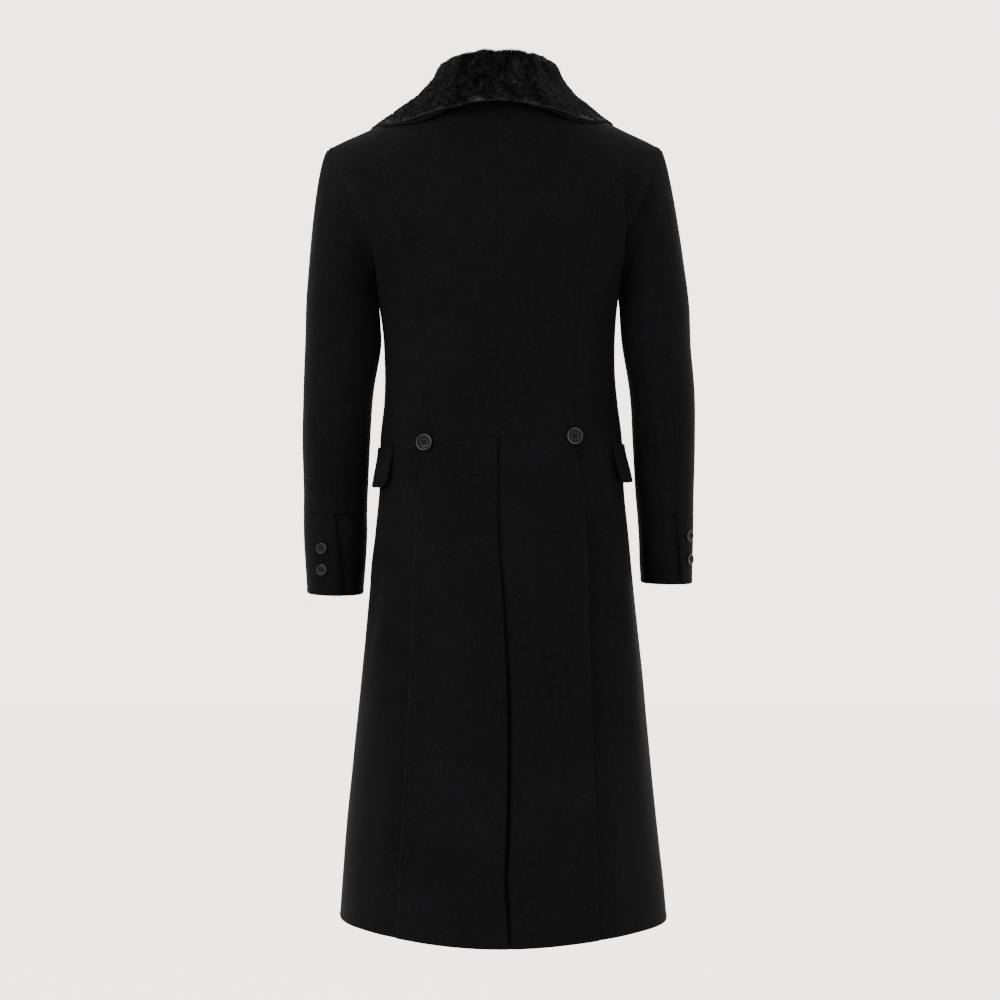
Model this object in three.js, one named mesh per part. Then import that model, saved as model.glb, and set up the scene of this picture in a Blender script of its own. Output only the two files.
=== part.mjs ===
// A long black wool greatcoat with a fur shawl collar, filled out as if worn, with no wearer.
// Millimetres, +Z up. The origin is the middle of the neck, where the wearer holds the coat up.
// +Y is the way the wearer faces, so the back of the coat faces -Y and the wearer's left is -X.
import * as THREE from "three";

// Driving sizes.
const CLOTH = 2.5; // melton wool with its interlining
const SEAM_GAP = 0.46; // between two pieces along a seam
const LAYER_GAP = 0.9; // between two pieces that lie on each other
const HEM = -1150; // height of the hem at the centre back
const HEM_RISE = 8; // how much higher the hem is at the sides and front
const ARMPIT = -274; // lowest point of the armhole
const BREAK = { x: 62, z: -305 }; // where the left lapel ends and the front edge begins
const SHOULDER_ROLL = 80; // height over which the back and the front round up to the shoulder seam
const SHOULDER_TIP = { left: 243, right: 228 }; // half widths at the shoulder points
const SHOULDER_SCALE = 240; // half width that the shoulder table is drawn for
const FUR = 6.5; // skin and pile of the collar
const FUR_EDGE = 3; // the same, thinned at its edges
const UNDER_COLLAR = 2;
const VENT_TOP = -614;
const VENT_LAP = 34; // how far the right back skirt runs under the left one at the vent
const VENT_LAP_TOP = 7; // the same at the waist, above the vent
const VENT_SLOPE = 9; // width over which it comes back up to the left one's level
const VENT_SHADOW = 1.9; // how much deeper the vent stands open halfway down
const WAIST_CENTRE = -474;
const WAIST = -481; // waist level at the side
const PLEAT_LAP = { left: 22, right: 26 }; // how far the sides run under the back skirt
const PLEAT_DROP = 6; // height below the waist over which the pleat turns under
const PLEAT_SLOPE = 9; // degrees over which the side comes back up beside the pleat
const PLEAT_SHADOW = { left: 0.6, right: 4 }; // how much deeper the pleats stand open
const FRONT_SLOPE = 34; // width over which the right front sinks under the left one
const LAPEL_WRAP = 9; // room beside the left front's edge for the fur that wraps it
const TIP_REACH = 237; // shoulder point and neck point, on the shoulder table's scale
const NECK_REACH = 85;
const DEGREE_RUN = 2.5; // length of a degree round the body
const SKIRT_ROWS = 12;
const SKIRT_COLS = 8;
const SHOULDER_COLS = 4;
const FRONT_COLS = 9;

const range = (from, to, count) =>
  Array.from({ length: count + 1 }, (_, i) => from + ((to - from) * i) / count);

// Reads a table with named columns as smooth curves over its first column.
function table(columns, rows) {
  const sorted = [...rows].sort((a, b) => a[0] - b[0]);
  const at = (key) => sorted.map((row) => row[columns.indexOf(key)]);
  const xs = at(columns[0]);
  const curves = {};
  for (const key of columns.slice(1)) {
    const ys = at(key);
    const slope = xs.map((_, i) => {
      const low = Math.max(i - 1, 0);
      const high = Math.min(i + 1, xs.length - 1);
      return (ys[high] - ys[low]) / (xs[high] - xs[low]);
    });
    curves[key] = (x) => {
      const v = THREE.MathUtils.clamp(x, xs[0], xs[xs.length - 1]);
      let i = 0;
      while (i < xs.length - 2 && v > xs[i + 1]) i += 1;
      const span = xs[i + 1] - xs[i];
      const t = (v - xs[i]) / span;
      const t2 = t * t;
      const t3 = t2 * t;
      return (
        ys[i] * (2 * t3 - 3 * t2 + 1) +
        slope[i] * span * (t3 - 2 * t2 + t) +
        ys[i + 1] * (3 * t2 - 2 * t3) +
        slope[i + 1] * span * (t3 - t2)
      );
    };
  }
  return curves;
}

// Half widths and depths of the body at each height, measured to the cloth's outside.
const BODY = table(
  ["z", "left", "right", "back", "front", "square"],
  [
    [60, 247, 232, 70, 40, 0.03],
    [10, 247, 232, 78, 56, 0.03],
    [-45, 247, 232, 93, 84, 0.03],
    [-92, 243, 227, 104, 103, 0.03],
    [-138, 224, 213, 112, 116, 0.035],
    [-190, 197, 191, 117, 125, 0.04],
    [-240, 179, 175, 116, 129, 0.04],
    [-274, 171.5, 166, 112, 129, 0.04],
    [-329, 163, 161, 104, 125, 0.035],
    [-380, 160.5, 161, 97, 119, 0.03],
    [-425, 162, 165, 93, 115, 0.03],
    [-475, 167.5, 171, 94, 114, 0.03],
    [-546, 169, 173.5, 105, 118, 0.03],
    [-613, 175, 180, 119, 122, 0.025],
    [-697, 183, 188, 130, 127, 0.02],
    [-798, 192.5, 199, 142, 134, 0.015],
    [-900, 203, 208.5, 154, 143, 0.01],
    [-1000, 213, 218, 168, 152, 0.005],
    [-1100, 221, 229, 183, 162, 0],
    [-1160, 225.5, 235, 192, 168, 0],
  ],
);

// Height of the shoulder ridge over its distance from the centre.
const RIDGE = table(
  ["x", "z"],
  [
    [0, 150],
    [30, 108],
    [50, 62],
    [72, 22],
    [85, 6],
    [110, -10],
    [135, -22],
    [160, -34],
    [183, -45],
    [215, -59],
    [240, -71],
    [265, -84],
  ],
);

const sideName = (sign) => (sign < 0 ? "left" : "right");
const smooth = (from, to, x) => THREE.MathUtils.smoothstep(x, Math.min(from, to), Math.max(from, to));
// Rises from 0 at from to 1 at to, whichever of them is larger.
const ramp = (from, to, x) => (from < to ? smooth(from, to, x) : 1 - smooth(from, to, x));
const bump = (low, high, x) => {
  const t = (x - low) / (high - low);
  return t <= 0 || t >= 1 ? 0 : Math.sin(Math.PI * t) ** 2;
};

// One quarter of a section: an ellipse squared off by its third harmonic.
const across = (sine, q) => ((1 + 3 * q) * sine - 4 * q * sine ** 3) / (1 - q);

function sineOf(share, q) {
  let sine = Math.min(share, 1);
  for (let i = 0; i < 12; i += 1) {
    const slope = (1 + 3 * q - 12 * q * sine * sine) / (1 - q);
    sine = Math.min(1, sine - (across(sine, q) - share) / slope);
  }
  return sine;
}

// The square of a section's depth share at a share of its half width, straight on past the side.
function depthSquared(share, q) {
  if (share >= 1) return ((1 - share) * (1 + 3 * q) ** 2) / ((1 - q) * (0.5 - 4.5 * q));
  const sine = sineOf(share, q);
  return across(Math.sqrt(Math.max(0, 1 - sine * sine)), q) ** 2;
}

const ridgeHeight = (x) =>
  RIDGE.z((Math.abs(x) * SHOULDER_SCALE) / SHOULDER_TIP[x < 0 ? "left" : "right"]);

// How far the section has opened at this height: 0 on the shoulder ridge, 1 below its roll.
function opened(x, z) {
  const t = (ridgeHeight(x) - z) / SHOULDER_ROLL;
  return t >= 1 ? 1 : 2 * t - t * t;
}

// Zero on the body's surface, and more than zero outside it.
function outside(x, y, z) {
  const depth = y < 0 ? BODY.back(z) : BODY.front(z);
  const share = Math.abs(x) / BODY[sideName(x)](z);
  return (y / depth) ** 2 - opened(x, z) * depthSquared(share, BODY.square(z));
}

function steepest(p) {
  const h = 0.05;
  return new THREE.Vector3(
    outside(p.x + h, p.y, p.z) - outside(p.x - h, p.y, p.z),
    outside(p.x, p.y + h, p.z) - outside(p.x, p.y - h, p.z),
    outside(p.x, p.y, p.z + h) - outside(p.x, p.y, p.z - h),
  ).divideScalar(2 * h);
}
const outward = (p) => steepest(p).normalize();

// Moves a point out until it is at least this far off the body.
function lifted(p, least) {
  const moved = p.clone();
  for (let i = 0; i < 4; i += 1) {
    const slope = steepest(moved);
    const off = outside(moved.x, moved.y, moved.z) / slope.length();
    if (off >= least) break;
    moved.addScaledVector(slope.normalize(), least - off);
  }
  return moved;
}

// A point of the body's surface. The angle is 0 at the centre back, 90 at the right side, 180 at the front.
function torso(angle, z) {
  const turned = angle > 180 ? angle - 360 : angle < -180 ? angle + 360 : angle;
  const sign = turned < 0 ? -1 : 1;
  const radians = THREE.MathUtils.degToRad(Math.abs(turned));
  const q = BODY.square(z);
  const x = sign * BODY[sideName(sign)](z) * across(Math.sin(radians), q);
  const cosine = Math.cos(radians);
  const share = across(Math.abs(cosine), q) * Math.sqrt(Math.max(0, opened(x, z)));
  const y = cosine > 0 ? -BODY.back(z) * share : BODY.front(z) * share;
  return new THREE.Vector3(x, y, z);
}

// The angle at which the surface has this x. A front angle runs on past 180 across the centre.
function angleAt(x, z, face, sign) {
  const share = Math.abs(x) / BODY[sideName(x)](z);
  const a = THREE.MathUtils.radToDeg(Math.asin(sineOf(share, BODY.square(z))));
  if (face === "back") return x < 0 ? -a : a;
  return sign * (x * sign < 0 ? 180 + a : 180 - a);
}

// The largest folds: troughs (depth below zero) and ridges that run down the cloth.
const FOLDS = [
  // angles at the top and the foot, heights of the top and the foot, half width in degrees, depth
  { name: "right pleat valley", top: 48, foot: 36, from: -500, to: -1010, wide: 13, depth: -11 },
  { name: "right side ridge", top: 66, foot: 58, from: -560, to: -1200, wide: 16, depth: 4 },
  { name: "left pleat valley", top: -50, foot: -44, from: -500, to: -960, wide: 12, depth: -5 },
  { name: "left side ridge", top: -70, foot: -80, from: -560, to: -900, wide: 10, depth: 4.5 },
  { name: "left back flute", top: -24, foot: -20, from: -640, to: -1300, wide: 15, depth: -4 },
  { name: "right back flute", top: 22, foot: 17, from: -640, to: -1300, wide: 14, depth: -3.5 },
  { name: "left front flute", top: -128, foot: -134, from: -560, to: -1300, wide: 18, depth: -6 },
  { name: "right front flute", top: 130, foot: 136, from: -560, to: -1300, wide: 18, depth: -6 },
  { name: "left blade hollow", top: -52, foot: -38, from: -110, to: -330, wide: 10, depth: -3 },
  { name: "right blade hollow", top: 55, foot: 40, from: -110, to: -330, wide: 10, depth: -4 },
];

function folds(angle, z) {
  const turned = angle > 180 ? angle - 360 : angle < -180 ? angle + 360 : angle;
  let sum = 0;
  for (const f of FOLDS) {
    const t = (f.from - z) / (f.from - f.to);
    if (t <= 0 || t >= 1) continue;
    const off = (turned - (f.top + (f.foot - f.top) * t)) / f.wide;
    if (Math.abs(off) >= 1) continue;
    const along = Math.sin(Math.PI * Math.sqrt(t)) ** 2;
    sum += f.depth * along * Math.cos((Math.PI * off) / 2) ** 2;
  }
  return sum;
}

// A point held off the body's surface by a height, folds included.
function onBody(angle, z, height = 0) {
  const p = torso(angle, z);
  const n = outward(p);
  return { p: p.clone().addScaledVector(n, folds(angle, z) + height), n };
}

// Seam lines, each a list of [angle, height] points that both of its pieces share.

// The armhole from the shoulder point round the back to the armpit, and on up the front.
const ARMHOLE = table(
  ["step", "back", "front", "z"],
  [
    [0, 75, 105, -71],
    [1, 70, 111, -90],
    [2, 67, 115, -114],
    [3, 65.5, 118.5, -140],
    [4, 65, 120, -166],
    [5, 66, 120, -192],
    [6, 69, 117, -216],
    [7, 73, 112, -238],
    [8, 78.5, 106, -257],
    [9, 84.5, 98, -269.5],
    [10, 90, 90, ARMPIT],
  ],
);
const ARMHOLE_STEPS = 10;
const PRINCESS_STEP = 2; // the armhole step where the back's side seam starts
const SIDE_STEP = 9; // the armhole step, on the front, where the side seam starts

// The side seam of the back, from the armhole over the blade to the waist, then the pleat line to the hem.
const PRINCESS = {
  left: table(
    ["step", "x", "z"],
    [
      [0, -216, -114],
      [1, -199, -113],
      [2, -184, -118],
      [3, -168, -131],
      [4, -154, -149],
      [5, -141, -173],
      [6, -128, -209],
      [7, -118, -256],
      [8, -111, -304],
      [9, -107, -358],
      [10, -105, -412],
      [11, -103.5, -485],
    ],
  ),
  right: table(
    ["step", "x", "z"],
    [
      [0, 204, -114],
      [1, 189, -114.5],
      [2, 170, -118],
      [3, 153, -133],
      [4, 139, -155],
      [5, 127, -184],
      [6, 118, -218],
      [7, 111, -262],
      [8, 107, -308],
      [9, 103.5, -360],
      [10, 101.5, -412],
      [11, 100, -477],
    ],
  ),
};
const WAIST_STEP = 11;
const PLEAT = {
  left: table(
    ["z", "x"],
    [[-485, -103.5], [-532, -112], [-600, -117], [-700, -120], [-850, -125], [-1160, -140]],
  ),
  right: table(["z", "x"], [[-477, 100], [-532, 112], [-600, 119], [-700, 123], [-850, 125], [-1160, 133]]),
};
const CENTRE = table(
  ["z", "x"],
  [
    [0, -3],
    [-474, -3],
    [-614, -2.5],
    [-670, 2],
    [-760, 7],
    [-850, 10],
    [-980, 9],
    [-1060, 6],
    [-1100, 8],
    [-1160, 12],
  ],
);
const SIDE_ANGLE = 100; // the underarm seam, from the armhole to the hem
const ROLL = table(
  ["step", "x", "z"],
  [
    [0, -85, 6],
    [1, -79, -32],
    [2, -69, -72],
    [3, -56, -113],
    [4, -40, -154],
    [5, -21, -194],
    [6, 2, -232],
    [7, 30, -268],
    [8, BREAK.x, BREAK.z],
  ],
);
const ROLL_STEPS = 8;
const ROLL_AT = table(["z", "x"], range(0, ROLL_STEPS, ROLL_STEPS).map((s) => [ROLL.z(s), ROLL.x(s)]));
const FRONT_EDGE = table(["z", "x"], [[BREAK.z, BREAK.x], [-475, 64], [-700, 62], [-900, 60], [-1160, 62]]);
const BACK_NECK = table(
  ["step", "x", "z"],
  [
    [0, 3, -10],
    [1, 28, -9.5],
    [2, 50, -8],
    [3, 68, -5],
    [4, 80, 0],
    [5, 85, 6],
  ],
);
const BACK_NECK_STEPS = 5;

const hemAt = (angle) => HEM + HEM_RISE * ramp(0, 90, Math.min(Math.abs(angle), 360 - Math.abs(angle)));
// Heights of a skirt's rows. The first is only PLEAT_DROP high, where the pleat turns under.
const skirtRows = (from, to) => [from, ...range(from - PLEAT_DROP, to, SKIRT_ROWS - 1)];
const between = (a, b, t) => a.map((v, k) => v + (b[k] - v) * t);

// A line of points with two more of them where the cloth rounds over the shoulder.
const withRoll = (line) => [
  line[0],
  between(line[0], line[1], 0.25),
  between(line[0], line[1], 0.6),
  ...line.slice(1),
];

function seamsOf(sign) {
  const side = sideName(sign);
  const princess = PRINCESS[side];
  const pleat = PLEAT[side];
  const scaled = (x) => (x * SHOULDER_TIP[side]) / SHOULDER_SCALE;
  const backX = (x, z) => [angleAt(x, z, "back"), z];
  const frontX = (x, z) => [angleAt(x, z, "front", sign), z];
  const steps = range(0, ARMHOLE_STEPS, ARMHOLE_STEPS);
  const armholeBack = steps.map((s) => [sign * ARMHOLE.back(s), ARMHOLE.z(s)]);
  const armholeFront = steps.map((s) => [sign * ARMHOLE.front(s), ARMHOLE.z(s)]);
  const tip = sign * scaled(TIP_REACH);
  armholeBack[0] = backX(tip, ridgeHeight(tip));
  armholeFront[0] = frontX(tip, ridgeHeight(tip));
  const seam = range(0, WAIST_STEP, WAIST_STEP).map((s) => backX(princess.x(s), princess.z(s)));
  seam[0] = armholeBack[PRINCESS_STEP];
  const waist = seam[WAIST_STEP];
  const pleatAngle = (z) => backX(pleat.x(z), z)[0];
  const pleatLine = skirtRows(waist[1], hemAt(pleatAngle(HEM))).map((z) => [pleatAngle(z), z]);
  pleatLine[0] = waist;
  const sideTop = armholeFront[SIDE_STEP];
  const underarmAngle = (z) =>
    THREE.MathUtils.lerp(sideTop[0], sign * SIDE_ANGLE, ramp(ARMPIT, ARMPIT - 120, z));
  const underarm = [
    ...range(sideTop[1], WAIST, WAIST_STEP),
    ...skirtRows(WAIST, hemAt(SIDE_ANGLE)).slice(1),
  ].map((z) => [underarmAngle(z), z]);
  const lines = { armholeBack, armholeFront, seam, pleatAngle, pleatLine, underarm };
  return { sign, side, scaled, backX, frontX, tip, ...lines };
}

// Fills a panel between its four edges, each a list of [angle, height] points.
function filled(left, right, top, bottom) {
  const cols = top.length - 1;
  const rows = left.length - 1;
  const shares = (line) => {
    const runs = [0];
    for (let i = 1; i < line.length; i += 1) {
      const step = Math.hypot((line[i][0] - line[i - 1][0]) * DEGREE_RUN, line[i][1] - line[i - 1][1]);
      runs.push(runs[i - 1] + step);
    }
    return runs.map((run) => run / runs[runs.length - 1]);
  };
  const mean = (a, b) => a.map((v, i) => (v + b[i]) / 2);
  const down = mean(shares(left), shares(right));
  const over = mean(shares(top), shares(bottom));
  const cell = (j, i, k) => {
    const u = over[i];
    const v = down[j];
    const sides = (1 - u) * left[j][k] + u * right[j][k];
    const upper = (1 - u) * left[0][k] + u * right[0][k];
    const lower = (1 - u) * left[rows][k] + u * right[rows][k];
    return sides + (1 - v) ** 2 * (top[i][k] - upper) + v ** 2 * (bottom[i][k] - lower);
  };
  return down.map((_, j) => Array.from({ length: cols + 1 }, (__, i) => [cell(j, i, 0), cell(j, i, 1)]));
}

// Moves the rim of a grid in from its edges, so that two pieces clear each other along a seam.
function inset(grid, distance = SEAM_GAP / 2, ends = distance) {
  const last = grid.length - 1;
  const end = grid[0].length - 1;
  const pull = (p, q, by) => q.clone().sub(p).setLength(by);
  return grid.map((row, j) =>
    row.map((p, i) => {
      const moved = p.clone();
      if (j === 0) moved.add(pull(p, grid[1][i], ends));
      if (j === last) moved.add(pull(p, grid[last - 1][i], ends));
      if (i === 0) moved.add(pull(p, row[1], distance));
      if (i === end) moved.add(pull(p, row[end - 1], distance));
      return moved;
    }),
  );
}

// A geometry from points and faces, turned to face out if it was made inside out.
function solid(points, faces) {
  let volume = 0;
  for (let f = 0; f < faces.length; f += 3) {
    const [a, b, c] = [0, 1, 2].map((k) => points[faces[f + k]]);
    volume += a.dot(b.clone().cross(c));
  }
  const index = volume < 0 ? faces.map((_, k) => faces[k - (k % 3) + (2 - (k % 3))]) : faces;
  const geometry = new THREE.BufferGeometry();
  geometry.setAttribute("position", new THREE.Float32BufferAttribute(points.flatMap((p) => p.toArray()), 3));
  geometry.setIndex(index);
  return geometry;
}

// A closed wall between an outer and an inner grid of points.
function wall(outer, inner) {
  const rows = outer.length;
  const cols = outer[0].length;
  const points = [...outer.flat(), ...inner.flat()];
  const at = (layer, j, i) => layer * rows * cols + j * cols + i;
  const faces = [];
  const quad = (a, b, c, d) => faces.push(a, b, c, a, c, d);
  for (let j = rows - 2; j >= 0; j -= 1) {
    for (let i = 0; i < cols - 1; i += 1) {
      quad(at(0, j, i), at(0, j + 1, i), at(0, j + 1, i + 1), at(0, j, i + 1));
      quad(at(1, j, i), at(1, j, i + 1), at(1, j + 1, i + 1), at(1, j + 1, i));
    }
  }
  for (let i = 0; i < cols - 1; i += 1) {
    quad(at(0, 0, i), at(0, 0, i + 1), at(1, 0, i + 1), at(1, 0, i));
    quad(at(0, rows - 1, i + 1), at(0, rows - 1, i), at(1, rows - 1, i), at(1, rows - 1, i + 1));
  }
  for (let j = 0; j < rows - 1; j += 1) {
    quad(at(0, j + 1, 0), at(0, j, 0), at(1, j, 0), at(1, j + 1, 0));
    quad(at(0, j, cols - 1), at(0, j + 1, cols - 1), at(1, j + 1, cols - 1), at(1, j, cols - 1));
  }
  return solid(points, faces);
}

// A cloth panel on the body. A function gives the height of its outer side over the body.
function panel(cells, height = () => 0, thickness = CLOTH) {
  const held = cells.map((row) => row.map(([angle, z]) => onBody(angle, z, height(angle, z))));
  const outer = inset(held.map((row) => row.map((h) => h.p)));
  const inner = outer.map((row, j) => row.map((p, i) => p.clone().addScaledVector(held[j][i].n, -thickness)));
  return wall(outer, inner);
}

const wool = new THREE.MeshStandardMaterial({ name: "wool", color: 0x141416, roughness: 0.95 });
const pile = new THREE.MeshStandardMaterial({ name: "fur", color: 0x0c0c0d, roughness: 0.85 });
const horn = new THREE.MeshStandardMaterial({ name: "button", color: 0x1b1a1c, roughness: 0.3 });

const coat = new THREE.Group();
function add(name, geometry, material = wool) {
  const mesh = new THREE.Mesh(geometry, material);
  mesh.name = name;
  coat.add(mesh);
}

// Back, from the neck to the waist: centre seam, neck and shoulder, armhole and side seam.
function backPanel(seams) {
  const { sign, backX, scaled } = seams;
  const neck = range(0, BACK_NECK_STEPS, BACK_NECK_STEPS).map((s) => {
    const x = sign * scaled(BACK_NECK.x(s));
    return backX(x, Math.min(BACK_NECK.z(s), ridgeHeight(x)));
  });
  neck[0] = backX(CENTRE.x(0), BACK_NECK.z(0));
  const shoulder = range(scaled(NECK_REACH), Math.abs(seams.tip), SHOULDER_COLS).map((x) =>
    backX(sign * x, ridgeHeight(sign * x)),
  );
  const top = [...neck.slice(0, -1), ...shoulder];
  const outerEdge = withRoll([...seams.armholeBack.slice(0, PRINCESS_STEP + 1), ...seams.seam.slice(1)]);
  const rows = outerEdge.length - 1;
  const nearNeck = [0, 0.008, 0.028, 0.06, 0.105];
  const drop = (j) => {
    const end = nearNeck.length - 1;
    return j <= end ? nearNeck[j] : nearNeck[end] + ((1 - nearNeck[end]) * (j - end)) / (rows - end);
  };
  const centre = range(0, rows, rows).map((j) => {
    const z = THREE.MathUtils.lerp(BACK_NECK.z(0), WAIST_CENTRE, drop(j));
    return backX(CENTRE.x(z), z);
  });
  return filled(centre, outerEdge, top, waistSeam(seams, top.length - 1));
}

// The seam across the back waist, from the centre to the button.
function waistSeam(seams, cols) {
  const start = seams.backX(CENTRE.x(WAIST_CENTRE), WAIST_CENTRE);
  return range(0, 1, cols).map((t) => between(start, seams.seam[WAIST_STEP], t));
}

// Back skirt, from the waist seam to the hem. The right one runs on under the left one at the vent.
function backSkirt(seams) {
  const centre = skirtRows(WAIST_CENTRE, HEM).map((z) => seams.backX(CENTRE.x(z), z));
  const hem = range(0, 1, SKIRT_COLS).map((t) => {
    const [angle] = between(centre[SKIRT_ROWS], seams.pleatLine[SKIRT_ROWS], t);
    return [angle, hemAt(angle)];
  });
  const cells = filled(centre, seams.pleatLine, waistSeam(seams, SKIRT_COLS), hem);
  if (seams.sign < 0) return panel(cells);
  const lapped = cells.map(([edge, ...rest]) => {
    const z = edge[1];
    const under = THREE.MathUtils.lerp(VENT_LAP_TOP, VENT_LAP, ramp(WAIST_CENTRE, VENT_TOP, z));
    const x = CENTRE.x(z);
    return [
      seams.backX(x - under, z),
      seams.backX(x - LAYER_GAP, z),
      seams.backX(x + LAYER_GAP, z),
      seams.backX(x + VENT_SLOPE, z),
      ...rest,
    ];
  });
  const sunk = (angle, z) => {
    const gap = THREE.MathUtils.lerp(1, VENT_SHADOW, bump(VENT_TOP + 60, HEM - 200, z));
    return -(CLOTH + LAYER_GAP) * gap * ramp(VENT_SLOPE, LAYER_GAP, torso(angle, z).x - CENTRE.x(z));
  };
  return panel(lapped, sunk);
}

// Side, from the armhole to the hem. Below the waist it runs under the back skirt: the pleat.
function sidePanel(seams) {
  const { sign, side } = seams;
  const top = [
    ...seams.armholeBack.slice(PRINCESS_STEP),
    seams.armholeFront[SIDE_STEP],
  ];
  const waistRow = range(0, 1, top.length - 1).map((t) =>
    between(seams.seam[WAIST_STEP], seams.underarm[WAIST_STEP], t),
  );
  const upper = filled(seams.seam, seams.underarm.slice(0, WAIST_STEP + 1), top, waistRow);
  const skirtSide = seams.underarm.slice(WAIST_STEP);
  const hem = range(0, 1, top.length - 1).map((t) => {
    const [angle] = between(seams.pleatLine[SKIRT_ROWS], skirtSide[SKIRT_ROWS], t);
    return [angle, hemAt(angle)];
  });
  const lower = filled(seams.pleatLine, skirtSide, waistRow, hem);
  const start = seams.pleatLine[0][1];
  const lap = (z) => (PLEAT_LAP[side] / DEGREE_RUN) * ramp(start - PLEAT_DROP, start - 90, z);
  const spread = (row) => {
    const [[angle, z], ...rest] = row;
    const near = Math.min(Math.abs(angle) + PLEAT_SLOPE * 0.5, Math.abs(rest[0][0]) - 1);
    return [[angle - sign * lap(z), z], [angle, z], [sign * near, z], ...rest];
  };
  const cells = [...upper, ...lower.slice(1)].map(spread);
  // The extra columns lie close together above the waist, where there is no pleat.
  for (const row of cells.slice(0, WAIST_STEP + 1)) {
    const edge = row[0];
    row[1] = between(edge, row[3], 0.3);
    row[2] = between(edge, row[3], 0.65);
  }
  const sunk = (angle, z) => {
    const away = Math.abs(angle) - Math.abs(seams.pleatAngle(z));
    const drop = CLOTH + LAYER_GAP + PLEAT_SHADOW[side] * bump(start, HEM + 150, z);
    return -drop * ramp(PLEAT_SLOPE, 0.4, away) * ramp(start - 0.5, start - PLEAT_DROP + 0.5, z);
  };
  return panel(cells, sunk);
}

// Front, from the shoulder to the hem, crossing the centre to its button edge.
function frontPanel(seams) {
  const { sign, side } = seams;
  const outerEdge = [
    ...withRoll(seams.armholeFront.slice(0, SIDE_STEP + 1)),
    ...seams.underarm.slice(1),
  ];
  const rows = outerEdge.length - 1;
  const rollRows = SIDE_STEP + 3;
  const roll = range(0, ROLL_STEPS, rollRows).map((s) => rollPoint(side, s));
  const edge = range(BREAK.z, HEM + HEM_RISE, rows - rollRows).map((z) => [sign * -FRONT_EDGE.x(z), z]);
  const inner = [...roll, ...edge.slice(1)].map(([x, z]) => seams.frontX(x, z));
  inner[0] = seams.frontX(sign * seams.scaled(NECK_REACH), ridgeHeight(sign * seams.scaled(NECK_REACH)));
  const top = range(Math.abs(seams.tip), seams.scaled(NECK_REACH), FRONT_COLS).map((x) =>
    seams.frontX(sign * x, ridgeHeight(sign * x)),
  );
  const hem = range(0, 1, FRONT_COLS).map((t) => between(outerEdge[rows], inner[rows], t));
  const cells = filled(outerEdge, inner, top, hem);
  if (sign < 0) return panel(cells);
  return panel(cells, rightFrontDrop);
}

// A point of a roll line. The left one is the table's, and the right one its mirror image.
function rollPoint(side, step) {
  const sign = side === "left" ? 1 : -1;
  const share = SHOULDER_TIP[side] / SHOULDER_SCALE;
  const x = ROLL.x(step);
  return [sign * x * (step < 4 ? THREE.MathUtils.lerp(share, 1, step / 4) : 1), ROLL.z(step)];
}

// The right front sinks under the left one from a little outside the left one's edge.
function rightFrontDrop(angle, z) {
  const x = torso(angle, z).x;
  const edge = z > BREAK.z ? ROLL_AT.x(z) : FRONT_EDGE.x(z);
  return -(CLOTH + 2 * LAYER_GAP) * ramp(FRONT_SLOPE, LAPEL_WRAP, x - edge);
}

// Sleeves: the middle, half width, half depth and forward set of the arm at each height.
const ARM = {
  left: table(
    ["z", "middle", "wide", "deep", "forward", "turn"],
    [
      [-310, -220, 52, 70, 0, 8],
      [-345, -220, 53, 69, 1, 7],
      [-410, -226.5, 49, 66, 5, 5],
      [-480, -229.5, 47.5, 63, 11, 3],
      [-546, -231, 45, 59, 18, 0],
      [-579, -232, 44.6, 56.5, 22, -4],
      [-613, -232.2, 44.3, 54.5, 26, -9],
      [-655, -232.4, 42, 53, 31, -15],
      [-690, -233, 39.5, 52, 35, -19],
    ],
  ),
  right: table(
    ["z", "middle", "wide", "deep", "forward", "turn"],
    [
      [-310, 217, 49, 70, 0, 9],
      [-345, 219, 48, 69, 1, 10],
      [-410, 227, 45.5, 66, 5, 12],
      [-480, 230, 44, 63, 11, 14],
      [-546, 232, 41.5, 59, 18, 16],
      [-579, 233.5, 39.8, 56.5, 22, 17],
      [-613, 234.5, 38.5, 54.5, 26, 22],
      [-655, 234.8, 37.5, 53, 31, 27],
      [-690, 236, 35.5, 52, 35, 31],
    ],
  ),
};
const CUFF_SEAM = -579;
const CUFF_END = { left: -689, right: -676 };
const BICEP = -310;
const HEAD_PULL = { left: 57, right: 30 }; // how far the sleeve head stands out before it falls
const HEAD_ROWS = [0, 0.1, 0.22, 0.36, 0.52, 0.68, 0.84, 1];
const ARM_ROWS = [-360, -415, -470, -525];

// A point of the arm. The turn is 0 at the back, 90 outward, 180 at the front, 270 against the body.
function onArm(sign, z, turn, lift = 0) {
  const arm = ARM[sideName(sign)];
  const t = THREE.MathUtils.degToRad(turn + arm.turn(z));
  const x = arm.middle(z) + sign * (arm.wide(z) + lift) * Math.sin(t);
  return new THREE.Vector3(x, arm.forward(z) - (arm.deep(z) + lift) * Math.cos(t), z);
}

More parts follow.
